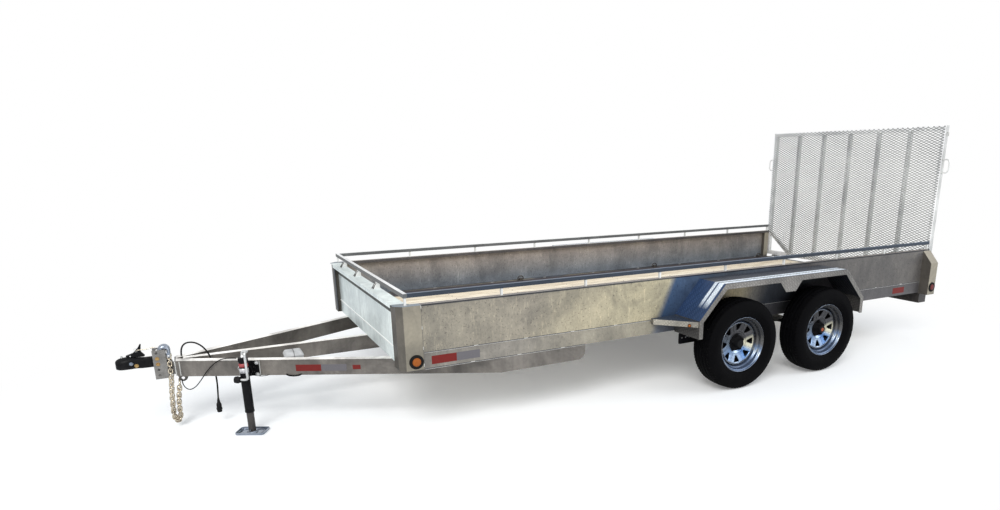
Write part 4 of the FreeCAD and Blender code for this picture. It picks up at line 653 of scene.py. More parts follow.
def boxShape(low, high, bevel=0.0):
    # box with its twelve edges cut by the bevel
    b = bevel
    if b <= 0:
        xs, ys, zs = zip(low, high)
        points = [(x, y, z) for x in xs for y in ys for z in zs]
        return points, [[0, 1, 3, 2], [4, 6, 7, 5], [0, 4, 5, 1], [2, 3, 7, 6], [0, 2, 6, 4], [1, 5, 7, 3]]
    points, faces, index = [], [], {}
    for axis in range(3):
        for side in (0, 1):
            ring = []
            u, v = (axis + 1) % 3, (axis + 2) % 3
            for su, sv in ((0, 0), (1, 0), (1, 1), (0, 1)):
                p = [0, 0, 0]
                p[axis] = (low, high)[side][axis]
                p[u] = low[u] + b if su == 0 else high[u] - b
                p[v] = low[v] + b if sv == 0 else high[v] - b
                index[(axis, side, su, sv)] = len(points)
                ring.append(len(points))
                points.append(tuple(p))
            faces.append(ring if side else ring[::-1])
    for axis in range(3):
        u, v = (axis + 1) % 3, (axis + 2) % 3
        for su in (0, 1):
            for sv in (0, 1):
                # the edge along axis, where u is at su and v at sv
                quad = []
                for end in (0, 1):
                    a = index[(u, su, sv, end)]  # on face u: its u is v, its v is axis
                    c = index[(v, sv, end, su)]  # on face v: its u is axis, its v is u
                    quad.append((a, c))
                ring = [quad[0][0], quad[1][0], quad[1][1], quad[0][1]]
                faces.append(ring if su == sv else ring[::-1])
    for sx in (0, 1):
        for sy in (0, 1):
            for sz in (0, 1):
                ring = [index[(0, sx, sy, sz)], index[(1, sy, sz, sx)], index[(2, sz, sx, sy)]]
                faces.append(ring if (sx + sy + sz) % 2 else ring[::-1])
    return points, faces


def prismShape(outline, depth):
    # closed outline in XY, pulled up by depth
    n = len(outline)
    points = [(x, y, z) for z in (0, depth) for x, y in outline]
    faces = [list(range(n))[::-1], list(range(n, 2 * n))]
    return points, faces + [[i, (i + 1) % n, n + (i + 1) % n, n + i] for i in range(n)]


def tubeShape(line, radius, sides=10, closed=False, flat=1.0):
    # round tube along a line of points, its section kept from twisting
    line = [Vector(p) for p in line]
    n = len(line)
    if closed:
        runs = [line[(i + 1) % n] - line[i - 1] for i in range(n)]
    else:
        runs = [line[min(i + 1, n - 1)] - line[max(i - 1, 0)] for i in range(n)]
    normal = runs[0].orthogonal().normalized()
    rings = []
    for i, run in enumerate(runs):
        t = run.normalized()
        normal = (normal - t * normal.dot(t)).normalized()
        other = t.cross(normal)
        r = radius(i / (n - 1)) if callable(radius) else radius
        rings.append([line[i] + normal * (r * c) + other * (r * flat * s) for c, s in circle(sides)])
    return loftShape(rings, wrap=closed)


def roundedLine(corners, radius, steps=5, closed=False):
    # polyline with its corners rounded
    corners = [Vector(c) for c in corners]
    n, line = len(corners), []
    for i, here in enumerate(corners):
        if not closed and i in (0, n - 1):
            line.append(here)
            continue
        before, after = corners[i - 1] - here, corners[(i + 1) % n] - here
        reach = min(radius, before.length * 0.48, after.length * 0.48)
        a, c = here + before.normalized() * reach, here + after.normalized() * reach
        for k in range(steps + 1):
            s = k / steps
            line.append(a * (1 - s) ** 2 + here * (2 * s * (1 - s)) + c * s ** 2)
    return line


def hexBoltShape(across, high, washer=1.45, thread=0.0):
    # hex head on a washer, its top corners rounded off, with a stub of thread where given
    shape = Shape()
    r = across / 2 / math.cos(math.pi / 6)
    base = high * 0.22
    shape.lathe([(0, 0), (r * washer, 0), (r * washer, base), (0, base)], 20)
    rings = [(r, base), (r, high * 0.85), (r * 0.86, high), (r * 0.0001, high * 1.02)]
    shape.loft([[(x * wide, y * wide, z) for x, y in circle(6)] for wide, z in rings], caps=False)
    if thread:
        t = across * 0.3
        shape.lathe([(t, high), (t, high + thread * 0.85), (t * 0.8, high + thread), (0, high + thread)], 12)
    return shape.points, shape.faces


def placeMany(name, shape, places, material, body="trailer"):
    every = Shape()
    for place in places:
        every.add(*shape, place)
    return every.piece(name, material, body)


def softenEdges(piece, width, angle=35):
    edges = piece.modifiers.new("softEdges", "BEVEL")
    edges.width, edges.segments, edges.limit_method, edges.angle_limit = width, 2, "ANGLE", math.radians(angle)
    edges.harden_normals = False


# cords: the lighting cable and the breakaway cable
plugCable = {"radius": 0.005, "length": 0.575, "route": (
    (1.136, -0.048, 0.455), (1.136, -0.048, 0.500), (1.104, -0.026, 0.545), (1.044, 0.014, 0.548),
    (0.994, 0.048, 0.506), (0.968, 0.066, 0.436), (0.959, 0.072, 0.356), (0.957, 0.072, 0.284), (0.960, 0.072, 0.226),
    (0.965, 0.072, 0.170))}
breakawayCable = {"radius": 0.003, "length": 0.51, "route": (
    (1.152, 0.005, 0.316), (1.152, 0.042, 0.316), (1.146, 0.076, 0.286), (1.118, 0.106, 0.264), (1.080, 0.130, 0.284),
    (1.044, 0.148, 0.330), (1.000, 0.172, 0.396), (0.960, 0.196, 0.440), (0.915, 0.212, 0.468), (0.870, 0.218, 0.468),
    (0.830, 0.216, 0.461))}


def makeCord(name, sizes):
    curve = bpy.data.curves.new(name, "CURVE")
    curve.dimensions = "3D"
    curve.bevel_depth, curve.bevel_resolution, curve.use_fill_caps = sizes["radius"], 4, True
    spline = curve.splines.new("NURBS")
    route = [ahead(*p) for p in sizes["route"]]
    spline.points.add(len(route) - 1)
    for point, place in zip(spline.points, route):
        point.co = (*place, 1)
    spline.order_u, spline.use_endpoint_u, spline.resolution_u = 3, True, 10
    curve.materials.append(finish["blackRubber"])
    return linked(name, curve, "trailer")


lightingCable = makeCord("lightingCable", plugCable)
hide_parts("plug_cable")
safetyCable = makeCord("breakawayCable", breakawayCable)
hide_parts("breakaway_cable")


def makeLightingPlug():
    # seven-way plug: tapered boot, finger ridges, collar and a keyed round nose
    low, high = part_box("plug")
    exit, tip = ahead(*plugCable["route"][-1]), Vector(((low.x + high.x) / 2 - 0.004, (low.y + high.y) / 2, low.z))
    place = facing(exit, (tip - exit).normalized())
    boot, end = 0.030, 0.092  # lengths of the boot and of the whole plug
    profile = [(0.0052, 0.0), (0.0062, 0.001)]
    for k in range(4):
        z, r = 0.004 + k * 0.0065, 0.0066 + k * 0.0007
        profile += [(r, z), (r + 0.0012, z + 0.001), (r + 0.0012, z + 0.004), (r, z + 0.005)]
    profile += [(r, boot + z) for r, z in ((0.0112, 0.0), (0.0138, 0.004), (0.0148, 0.010), (0.0148, 0.034),
                                           (0.0176, 0.035), (0.0176, 0.046), (0.0150, 0.047))]
    profile += [(0.0150, end - 0.002), (0.0142, end), (0.0118, end), (0.0118, end - 0.012), (0.0, end - 0.012)]
    shape = Shape().lathe(profile, 36, place=place)
    for k in range(14):  # finger grips round the body
        grip = Matrix.Rotation(2 * math.pi * k / 14, 4, "Z") @ Matrix.Translation((0.0146, 0, boot + 0.011))
        shape.box((-0.0005, -0.0011, 0), (0.0010, 0.0011, 0.021), 0.0003, place=place @ grip)
    for c, s in circle(6) + [(0, 0)]:  # contact sleeves inside the nose
        pin = Matrix.Translation((0.0078 * c, 0.0078 * s, end - 0.0125))
        shape.lathe([(0.0001, 0), (0.0017, 0), (0.0017, 0.006), (0.0009, 0.006), (0.0009, 0.002)], 10,
                    place=place @ pin)
    plug = shape.piece("lightingPlug", "blackPlastic")
    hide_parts("plug")
    return plug


lightingPlug = makeLightingPlug()
print("cords laid")

# finishes of the pieces that keep their own shape
wheelNames = ("front_left", "front_right", "rear_left", "rear_right")


def wheelNodes(part):
    return [part + "_" + name for name in wheelNames]


nodeFinish = {
    "galvWall": ["side_wall_left", "side_wall_right"],
    "galvSideRail": ["side_rail_left", "side_rail_right"],
    "galvPost": ["corner_posts", "tail_light_boxes"],
    "galvRail": ["tongue_rail_left", "tongue_rail_right", "tongue_center_beam", "chain_tab"],
    # the rear cross beam is galvanised; its dark tube finish is painted shade
    "bracketZinc": ["coupler_bracket"], "darkTube": ["jack_inner_tube", "rear_cross_beam"],
    "galvPanel": ["front_wall"],
    "galvBright": ["tie_rail_posts", "gate_handles"],
    "galvTie": ["tie_rail_front", "tie_rail_right"],
    "galvTieNear": ["tie_rail_left"],
    "galvFrame": ["gate_frame", "gate_hinge_lugs", "gate_hinge_knuckles"],
    "galvMesh": ["gate_mesh"],
    # the parts under the body get the shaded copy
    "galvDullShaded": ["cross_members", "axle_front", "axle_rear", "spring_hangers", "rear_sill"],
    "treadPlate": ["fender_left", "fender_right", "fender_steps"],
    "plankWood": ["deck_planks"],
    "hookZinc": ["chain_hooks"], "chainZinc": ["safety_chains"],
    "zincPlate": ["coupler_latch", "jack_crank", "jack_foot", "tie_down_rings"],
    "blackPaint": ["coupler_body", "jack_outer_tube", "jack_mount", "leaf_springs", *wheelNodes("hub")],
    "silverPaintReflections": wheelNodes("rim"), "tyreRubber": wheelNodes("tyre"),
    "redLens": ["tail_lamps"], "amberLens": ["marker_lights"], "blackPlastic": ["plug", "battery_box"],
    "blackRubber": ["plug_cable", "breakaway_cable"],
}
for material, names in nodeFinish.items():
    for name in names:
        for held in nodes[name].material_slots:
            held.material = finish[material]
# width of the softened edges in metres: the pieces it is given to
edgeWidths = {
    0.007: ["tongue_rail_left", "tongue_rail_right", "tongue_center_beam"], 0.006: ["rear_cross_beam"],
    0.003: ["rear_sill", "deck_planks", "tie_rail_left", "tie_rail_right", "tie_rail_front", "gate_frame",
            "tail_light_boxes", "coupler_bracket"],
    0.0025: ["side_rail_left", "side_rail_right"],
    0.002: ["corner_posts", "tie_down_rings", "gate_handles", "jack_mount"],
    0.0012: ["side_wall_left", "side_wall_right", "front_wall", "fender_left", "fender_right"],
    0.001: ["fender_steps", "tie_rail_posts", "spring_hangers", "cross_members"]}
for width, names in edgeWidths.items():
    for name in names:
        softenEdges(nodes[name], width)
print("finishes given")

# wheels
tyreSizes = {"radius": 0.340, "half": 0.102, "bead": 0.203, "steps": 240, "grooves": (-0.052, -0.018, 0.018, 0.052),
             "grooveWide": 0.0065, "grooveDeep": 0.0075, "blocks": 80}
rimSizes = {"windows": 8, "windowIn": 0.097, "windowOut": 0.148, "halfOut": 0.0295, "halfIn": 0.0065,
            "corner": 0.010, "sheet": 0.0032, "nuts": 5, "nutCircle": 0.057}


def tyreRadiusAt(y, a):
    # radius of the tread at a place across it and round it: ribs, grooves and sipes
    s = tyreSizes
    crown = s["radius"] - 0.006 * (abs(y) / 0.080) ** 2.4
    turn = a / (2 * math.pi) * s["blocks"]
    zigzag = 0.0022 * (1 if int(turn) % 2 else -1)
    for groove in s["grooves"]:
        if abs(y - groove - zigzag) < s["grooveWide"] / 2 + 0.0002:
            return crown - s["grooveDeep"]
    shifted = (turn + 0.28 * (1 if y > 0 else -1) + abs(y) * 6) % 1
    if shifted < 0.13 and abs(abs(y) - 0.035) < 0.0125:
        return crown - 0.0045
    if abs(y) > 0.060 and shifted < 0.30:
        return crown - 0.0055
    return crown


def treadedTyre():
    s = tyreSizes
    ys = [i * 0.0034 for i in range(-23, 24)]
    # sidewall as (half width, below the tread) and, by the rim, (half width, above the bead)
    wall = ((0.0865, 0.0135), (0.0925, 0.0225), (0.0972, 0.034), (0.1008, 0.052), (s["half"], 0.071), (0.1012, 0.088),
            (0.1000, 0.0895), (0.1000, 0.093), (0.0985, 0.0945), (0.0940, 0.108), (0.0895, 0.1175), (0.0885, 0.1185))
    heel = ((0.0845, 0.0125), (0.0795, 0.0065), (0.0745, 0.0035), (0.070, -0.002))
    side = [(y, s["radius"] - down) for y, down in wall] + [(y, s["bead"] + up) for y, up in heel]
    points, faces = [], []
    count = len(ys) + 2 * len(side)
    for k in range(s["steps"]):
        a = 2 * math.pi * k / s["steps"]
        ring = [(-y, r) for y, r in reversed(side)] + [(y, tyreRadiusAt(y, a)) for y in ys] + side
        lug = 0.0016 if int(k / 3) % 2 else 0.0
        for i, (y, r) in enumerate(ring):
            if abs(abs(y) - 0.0925) < 0.003:
                y += math.copysign(lug, y)
            points.append((r * math.cos(a), y, r * math.sin(a)))
    for k in range(s["steps"]):
        here, after = k * count, (k + 1) % s["steps"] * count
        for i in range(count - 1):
            faces.append([here + i, here + i + 1, after + i + 1, after + i])
    return points, faces


def discHeight(radius):
    # how far the pressed disc stands out of the wheel's middle plane
    table = ((0.036, 0.004), (0.062, 0.005), (0.070, 0.010), (0.078, 0.0165), (0.086, 0.0145), (0.100, 0.014),
             (0.125, 0.020), (0.148, 0.0255), (0.156, 0.027), (0.162, 0.022), (0.167, 0.006))
    for (r0, z0), (r1, z1) in zip(table, table[1:]):
        if radius <= r1:
            s = max(0.0, min(1.0, (radius - r0) / (r1 - r0)))
            s = s * s * (3 - 2 * s)
            return z0 + (z1 - z0) * s
    return table[-1][1]


def spokeDisc():
    # pressed disc with eight rounded three-cornered windows, each sector a net round its window
    s = rimSizes
    sector = math.pi / s["windows"]
    inner, outer = 0.086, 0.158
    corners = [(-s["halfOut"], s["windowOut"]), (s["halfOut"], s["windowOut"]), (s["halfIn"], s["windowIn"]),
               (-s["halfIn"], s["windowIn"])]
    shape = roundedLine([(x, y, 0) for x, y in corners], s["corner"], 5, closed=True)
    middle = Vector((0, (s["windowIn"] + s["windowOut"]) / 2 + 0.003, 0))
    ways = [2 * math.pi * k / 56 for k in range(56)]
    for radius in (inner, outer):
        for side in (-1, 1):  # a ray of its own to each corner of the sector
            corner = Vector((radius * math.sin(side * sector), radius * math.cos(sector), 0)) - middle
            ways.append(math.atan2(corner.y, corner.x) % (2 * math.pi))
    window, border = [], []
    for a in sorted(ways):
        way = Vector((math.cos(a), math.sin(a), 0))
        reach = 1.0
        for p, q in zip(shape, shape[1:] + shape[:1]):
            run, gap = q - p, p - middle
            cross = way.x * run.y - way.y * run.x
            if abs(cross) > 1e-12:
                t, u = (gap.x * run.y - gap.y * run.x) / cross, (gap.x * way.y - gap.y * way.x) / cross
                if t > 0 and -1e-6 <= u <= 1 + 1e-6:
                    reach = min(reach, t)
        window.append(middle + way * reach)
        ends = []
        for radius in (inner, outer):
            half, rest = middle.dot(way), middle.length_squared - radius * radius
            if half * half > rest:
                root = math.sqrt(half * half - rest)
                ends += [t for t in (-half - root, -half + root) if t > 0]
        for side in (-1, 1):
            slope = way.x * math.cos(sector) - side * way.y * math.sin(sector)
            if abs(slope) > 1e-12:
                ends.append(-(middle.x * math.cos(sector) - side * middle.y * math.sin(sector)) / slope)
        border.append(middle + way * min(t for t in ends if t > 1e-9))
    n = len(window)
    steps = 6
    points, faces = [], []
    for k in range(s["windows"]):
        turn = 2 * math.pi * k / s["windows"]
        start = len(points)
        for j in range(steps + 1):
            for p, q in zip(window, border):
                m = p.lerp(q, j / steps)
                radius, angle = m.length, math.atan2(m.x, m.y) + turn
                roll = 0.0040 * max(0.0, 1 - (m - p).length / 0.006)
                points.append((radius * math.sin(angle), discHeight(radius) - roll, radius * math.cos(angle)))
        for j in range(steps):
            for i in range(n):
                i2 = (i + 1) % n
                faces.append([start + j * n + i, start + (j + 1) * n + i, start + (j + 1) * n + i2, start + j * n + i2])
    return points, faces


def ringFaces(profile, steps=96):
    # profile of (y, radius) turned about Y
    points, faces = latheShape([(r, y) for y, r in profile], steps)
    return [(x, z, -y) for x, y, z in points], faces


def makeWheel(name, mirror):
    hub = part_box("rim_" + name)
    middle = (hub[0] + hub[1]) / 2
    low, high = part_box("tyre_" + name)
    centre = Vector((middle.x, (low.y + high.y) / 2, (low.z + high.z) / 2))
    place = Matrix.Translation(centre) @ (Matrix.Rotation(math.pi, 4, "Z") if mirror else Matrix())
    body = "wheel_" + name
    tyre = Shape().add(*treadedTyre(), place).piece("treadedTyre_" + name, "tyreRubber", body, 0.7)
    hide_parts("tyre_" + name)
    barrel = [(0.0795, 0.2075), (0.0800, 0.2050), (0.0790, 0.2020), (0.0745, 0.2000), (0.0715, 0.1965),
              (0.0700, 0.1920), (0.0655, 0.1890), (0.0520, 0.1870), (0.0470, 0.1855), (0.0430, 0.1800),
              (0.0400, 0.1755), (0.0360, 0.1735), (0.0240, 0.1725), (0.0180, 0.1700), (0.0120, 0.1672),
              (0.0000, 0.1668), (-0.0200, 0.1680), (-0.0500, 0.1790), (-0.0700, 0.1900), (-0.0780, 0.1990),
              (-0.0800, 0.2060), (-0.0760, 0.2075), (-0.0720, 0.2020)]
    rim = Shape().ring(barrel, place=place)
    rim.ring([(discHeight(0.158), 0.158), (0.0262, 0.1600), (0.0235, 0.1635), (0.0170, 0.1660), (0.0080, 0.1668)],
             place=place)
    rim.add(*spokeDisc(), place)
    bowl = [(discHeight(r), r) for r in (0.0865, 0.083, 0.079, 0.075, 0.071, 0.067, 0.064, 0.060, 0.056, 0.052,
                                         0.048, 0.044, 0.040)]
    rim.ring(bowl, place=place)
    rimPiece = rim.piece("spokeWheel_" + name, "silverPaintReflections", body, 0.9)
    sheeted(rimPiece, rimSizes["sheet"])
    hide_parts("rim_" + name)
    out, reach = place.to_3x3() @ Vector((0, 1, 0)), rimSizes["nutCircle"]
    nuts = [facing(place @ Vector((reach * c, 0.0065, reach * s)), out) for c, s in circle(rimSizes["nuts"], 0.3)]
    placeMany("lugNuts_" + name, hexBoltShape(0.019, 0.016, 1.15, 0.004), nuts, "hubBlack", body)
    Shape().ring([(0.0058, 0.037), (0.0066, 0.0615), (0.0050, 0.0625)], 48, place=place).piece(
        "boltFace_" + name, "hubBlack", body)
    lip = [place @ Vector((0.1608 * c, 0.0262, 0.1608 * s)) for c, s in circle(96)]
    Shape().tube(lip, 0.0019, 8, closed=True).piece("discLip_" + name, "rimEdge", body, 1.2)
    cap = [(0.0360, 0.0), (0.0375, 0.014), (0.0345, 0.0155), (0.0335, 0.018), (0.0325, 0.047), (0.0320, 0.051),
           (0.0295, 0.0542), (0.0180, 0.0554), (0.0175, 0.0542), (0.0150, 0.0538), (0.0, 0.0538)]
    capShape = Shape().ring([(y, r) for r, y in cap], 48, place=place)
    capShape.piece("bearingCap_" + name, "hubBlack", body)
    plugShape = [(0.0146, 0.0536), (0.0150, 0.0556), (0.0140, 0.0568), (0.0060, 0.0571), (0.0045, 0.0563),
                 (0.0, 0.0562)]
    Shape().ring([(y, r) for r, y in plugShape], 32, place=place).piece(
        "capPlug_" + name, "orangePlug" if name == "rear_left" else "blackRubber", body)
    # dark drum plate behind the disc: a brake backing plate, near black as painted shade inside the wheel
    drum = [(-0.0120, 0.060), (-0.0120, 0.160), (-0.0150, 0.166), (-0.0340, 0.166)]
    Shape().ring(drum, 64, place=place).piece("drumPlateAndShade_" + name, "hubBlack", body)
    stem = place @ Vector((0.152, 0.040, 0.080))
    toward = (place.to_3x3() @ Vector((-0.35, 1, -0.18))).normalized()
    placeStem = facing(stem - toward * 0.018, toward)
    Shape().lathe([(0.0062, 0), (0.0058, 0.008), (0.0040, 0.012), (0.0038, 0.024), (0.0044, 0.025),
                   (0.0044, 0.034), (0.0030, 0.036), (0.0, 0.036)], 16, place=placeStem).piece(
        "valveStem_" + name, "blackRubber", body)


for name in wheelNames:
    makeWheel(name, name.endswith("right"))
print("wheels made")


# ramp gate's expanded mesh
meshSizes = {"longWay": 0.0508, "shortWay": 0.0234, "strand": 0.0056, "thick": 0.0026, "bond": 0.0110, "lean": 0.0017,
             "overlap": 0.034, "forward": 0.0082}


def makeGateMesh():
    # raised expanded metal: strands rise from the back of one bond to the front of the next
    s = meshSizes
    low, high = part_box("gate_mesh")
    x = (low.x + high.x) / 2 + s["forward"]
    cutY, cutZ = 0.694, low.z + 0.205
    half, reach = high.y, high.y + s["overlap"]
    bottom, top = low.z - s["overlap"], high.z + s["overlap"]

    def inside(y, z):
        if not (-reach < y < reach and bottom < z < top):
            return False
        # lower corners are cut off by the braces
        edge = (abs(y) - cutY) / (half - cutY)
        return edge < 0 or z > low.z + edge * (cutZ - low.z)

    shape = Shape()
    columns = int(2 * reach / s["longWay"]) + 2
    rows = int((top - bottom) / (s["shortWay"] / 2)) + 2

    def bar(a, b, wide, thick):
        # flat bar from a to b, its width in the gate's plane across the run
        run = b - a
        across = Vector((0, -run.z, run.y)).normalized() * (wide / 2)
        out = Vector((thick / 2, 0, 0))
        shape.loft([[end + across + out, end - across + out, end - across - out, end + across - out] for end in (a, b)],
                   caps=False)

    for r in range(rows):
        z = bottom + r * s["shortWay"] / 2
        for c in range(-columns // 2, columns // 2 + 1):
            y = (c + (0.5 if r % 2 else 0.0)) * s["longWay"]
            if inside(y, z):
                # the leaning bond, its corners: (left, right) x (low, high) x (back, front)
                shape.add([(x + end * s["lean"] + side * s["thick"] / 2, y + dy * s["bond"] / 2, z + end * s["strand"])
                           for dy in (-1, 1) for end in (-1, 1) for side in (-1, 1)],
                          ([0, 2, 3, 1], [4, 5, 7, 6], [0, 1, 5, 4], [2, 6, 7, 3], [1, 3, 7, 5], [0, 4, 6, 2]))
            for way in (-1, 1):
                y2, z2 = y + way * s["longWay"] / 2, z + s["shortWay"] / 2
                if inside((y + y2) / 2, (z + z2) / 2):
                    a = Vector((x + s["lean"], y + way * s["bond"] * 0.42, z + s["strand"] * 0.5))
                    b = Vector((x - s["lean"], y2 - way * s["bond"] * 0.42, z2 - s["strand"] * 0.5))
                    bar(a, b, s["strand"], s["thick"])
    mesh = shape.piece("expandedMesh", "galvMesh", "ramp_gate", 0)
    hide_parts("gate_mesh")
    return mesh


gateMesh = makeGateMesh()
print("gate mesh made,", len(gateMesh.data.polygons), "faces")


# safety chains: round links on the places of the flat ones
chain = {"wire": 0.0044, "ringWire": 0.0050, "top": 0.475, "drop": 0.36, "pull": 0.55, "below": 1.225}


def looseParts(mesh):
    # groups of vertex numbers that hang together
    count = len(mesh.vertices)
    parent = list(range(count))

    def root(i):
        while parent[i] != i:
            parent[i] = parent[parent[i]]
            i = parent[i]
        return i

    places = {}
    for i, vertex in enumerate(mesh.vertices):
        key = tuple(round(c * 1e6) for c in vertex.co)
        if key in places:
            parent[root(i)] = root(places[key])
        else:
            places[key] = i
    for edge in mesh.edges:
        a, b = edge.vertices
        parent[root(a)] = root(b)
    groups = {}
    for i in range(count):
        groups.setdefault(root(i), []).append(i)
    return list(groups.values())


def makeChains():
    mesh = nodes["safety_chains"].data
    places = np.array([tuple(v.co) for v in mesh.vertices])
    shape = Shape()
    for group in looseParts(mesh):
        corners = np.unique(np.round(places[group], 6), axis=0)
        centre = corners.mean(axis=0)
        axes = np.linalg.eigh(np.cov((corners - centre).T))[1]
        longWay, wideWay = Vector(axes[:, 2]), Vector(axes[:, 1])
        spread = np.ptp((corners - centre) @ axes, axis=0)
        # the ring that gathers both chains is thicker
        wire = chain["ringWire"] if spread[0] > 0.008 else chain["wire"]
        half, wide = spread[2] / 2 * 1.06 - wire, spread[1] / 2 * 1.22 - wire
        outline = []
        for end in (1, -1):
            for k in range(9):
                a = math.pi * k / 8
                outline.append((end * (half - wide + wide * math.sin(a)), end * wide * math.cos(a)))
        middle = Vector(centre)
        # both legs draw together towards the bottom, below the hooks
        share = min(1, max(0, (chain["top"] - middle.z) / chain["drop"]))
        middle.x += chain["pull"] * share * share * (3 - 2 * share) * (ahead(chain["below"], 0, 0).x - middle.x)
        shape.tube([middle + longWay * p + wideWay * q for p, q in outline], wire, 8, closed=True)
    chains = shape.piece("roundLinkChains", "chainZinc", smooth=1.2)
    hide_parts("safety_chains")


makeChains()
print("chains made")


# coupler, bracket and tongue hardware
railAngle = math.radians(27.8)  # between a tongue rail and the trailer's middle line
railSlope = 0.52724
coupler = {"wall": 0.0045, "stations": (  # ahead of the box front, half width, bottom, top, corner radius
    (1.2255, 0.0290, 0.428, 0.482, 0.008), (1.3300, 0.0290, 0.428, 0.484, 0.009), (1.3520, 0.0296, 0.429, 0.487, 0.011),
    (1.3720, 0.0318, 0.432, 0.4915, 0.015), (1.3900, 0.0350, 0.433, 0.4955, 0.020),
    (1.4080, 0.0380, 0.433, 0.4980, 0.026), (1.4260, 0.0396, 0.433, 0.4988, 0.031),
    (1.4450, 0.0399, 0.433, 0.4985, 0.034), (1.4600, 0.0372, 0.433, 0.4965, 0.034),
    (1.4720, 0.0312, 0.433, 0.4925, 0.030), (1.4810, 0.0235, 0.4335, 0.4870, 0.023),
    (1.4865, 0.0155, 0.434, 0.4810, 0.0154), (1.4893, 0.0080, 0.4345, 0.4750, 0.0079),
    (1.4900, 0.0005, 0.435, 0.4700, 0.0004))}


def couplerSection(half, low, high, corner):
    # upside-down U from the right side's foot to the left side's, its crown a little domed
    line = [(-half - 0.0022, low), (-half, low + 0.0022), (-half, (low + high) / 2)]
    for k in range(7):
        a = math.pi / 2 * k / 6
        line.append((-half + corner - corner * math.cos(a), high - corner + corner * math.sin(a)))
    line += [(-max(half - corner, 0) * 0.5, high + 0.0012)]
    return line + [(0, high + 0.0016)] + [(-y, z) for y, z in reversed(line)]


def makeCoupler():
    points, faces = [], []
    for x, *sizes in coupler["stations"]:
        section = couplerSection(*sizes)
        points += [ahead(x, y, z) for y, z in section]
    count = len(section)
    for j in range(len(coupler["stations"]) - 1):
        for a in range(j * count, j * count + count - 1):
            faces.append([a, a + count, a + count + 1, a + 1])
    body = Shape().add(points, faces).piece("stampedCoupler", "blackPaint", smooth=0.9)
    sheeted(body, coupler["wall"])
    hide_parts("coupler_body")
    # pressed rib along the crown and the ball cup seen from below
    rib = Shape()
    rib.tube([ahead(1.240, 0, 0.4835), ahead(1.300, 0, 0.4848), ahead(1.336, 0, 0.4858)],
             lambda s: 0.006 * math.sin(math.pi * min(1, max(0.02, s))) ** 0.3, 10, flat=0.45)
    cup = [(0.0262, 0.434), (0.0272, 0.446), (0.0264, 0.458), (0.0230, 0.470), (0.0165, 0.4785), (0.008, 0.4825),
           (0, 0.4835)]
    rib.lathe(cup, 32, place=Matrix.Translation(ahead(1.446, 0, 0)))
    rib.piece("couplerRibs", "darkSteel")


def makeLatch():
    corners = ((1.4310, 0.5085), (1.4240, 0.5000), (1.3340, 0.4945), (1.3280, 0.4990), (1.3480, 0.5260),
               (1.3440, 0.5560), (1.3405, 0.5715), (1.3480, 0.5730), (1.3600, 0.5520), (1.3900, 0.5210))
    outline = roundedLine([(x, z, 0) for x, z in corners], 0.005, 3, closed=True)
    points, faces = prismShape([(p.x, p.y) for p in outline], 0.0225)
    turn = [ahead(x, 0.01125 - depth, z) for x, z, depth in points]
    lever = Shape().add(turn, faces).piece("couplerLatch", "blackPaint")
    softenEdges(lever, 0.0016, 30)
    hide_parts("coupler_latch")
    pins = Shape()
    pins.lathe([(0, -0.0185), (0.0042, -0.0185), (0.0048, -0.0175), (0.0048, -0.014), (0.0036, -0.013),
                (0.0036, 0.013), (0.0048, 0.014), (0.0048, 0.0175), (0.0042, 0.0185), (0, 0.0185)], 16,
               place=facing(ahead(1.405, 0, 0.507), (0, 1, 0)))
    pins.lathe([(0, 0.0), (0.0075, 0.0), (0.0075, 0.004), (0.0050, 0.0055), (0.0050, 0.011), (0, 0.012)], 18,
               place=Matrix.Translation(ahead(1.452, 0, 0.4995)))
    ring = [ahead(1.371 + 0.011 * c, 0.0125 + 0.0012 * s, 0.541 + 0.011 * s) for c, s in circle(20)]
    pins.tube(ring, 0.0011, 6, closed=True)
    pins.piece("latchPins", "zincPlate")
    lanyard = [ahead(*p) for p in ((1.371, 0.0135, 0.536), (1.355, 0.018, 0.541), (1.320, 0.024, 0.541),
                                   (1.290, 0.028, 0.547), (1.262, 0.029, 0.553))]
    Shape().tube(roundedLine(lanyard, 0.02, 5), 0.0026, 8).piece("latchWire", "chainZinc", smooth=1.0)


def makeTongueBolts():
    # (ahead of the box front, out from the middle, height) on the near side and on the far one
    rows = ((1, ((1.266, 0.0381, 0.4395), (1.266, 0.0381, 0.4753), (1.379, 0.0335, 0.446)), "yellowBolts"),
            (-1, ((1.266, 0.0381, 0.4395), (1.266, 0.0381, 0.4753)), "greyBolts"),
            (1, ((1.405, 0.0377, 0.463),), "greyBolts"),
            (-1, ((1.405, 0.0377, 0.463), (1.379, 0.0335, 0.446)), "greyBolts"))
    places = {"yellowBolts": [], "greyBolts": []}
    for side, spots, name in rows:
        places[name] += [facing(ahead(x, side * y, z), (0, side, 0)) for x, y, z in spots]
    placeMany("yellowBolts", hexBoltShape(0.0155, 0.009, 1.3), places["yellowBolts"], "yellowZinc")
    placeMany("greyBolts", hexBoltShape(0.0140, 0.009, 1.3, 0.006), places["greyBolts"], "hookZinc")
    # upright weld beads of the nose plate, the bracket and the tongue rails' side plates
    welds = Shape()
    for x, reach, low, high, radius in ((1.1745, 0.0625, 0.3585, 0.4495, 0.0042),
                                        (1.2165, 0.0245, 0.362, 0.428, 0.004)):
        for y in (-reach, reach):
            welds.weld(ahead(x, y, low), ahead(x, y, high), radius)
    for side in (1, -1):
        for x in (0.709, 1.150):
            y = side * (0.6864 - x * railSlope)
            welds.weld(ahead(x, y, 0.357), ahead(x, y, 0.451), 0.0036)
    welds.piece("tongueWelds", "weldZinc", smooth=1.2)


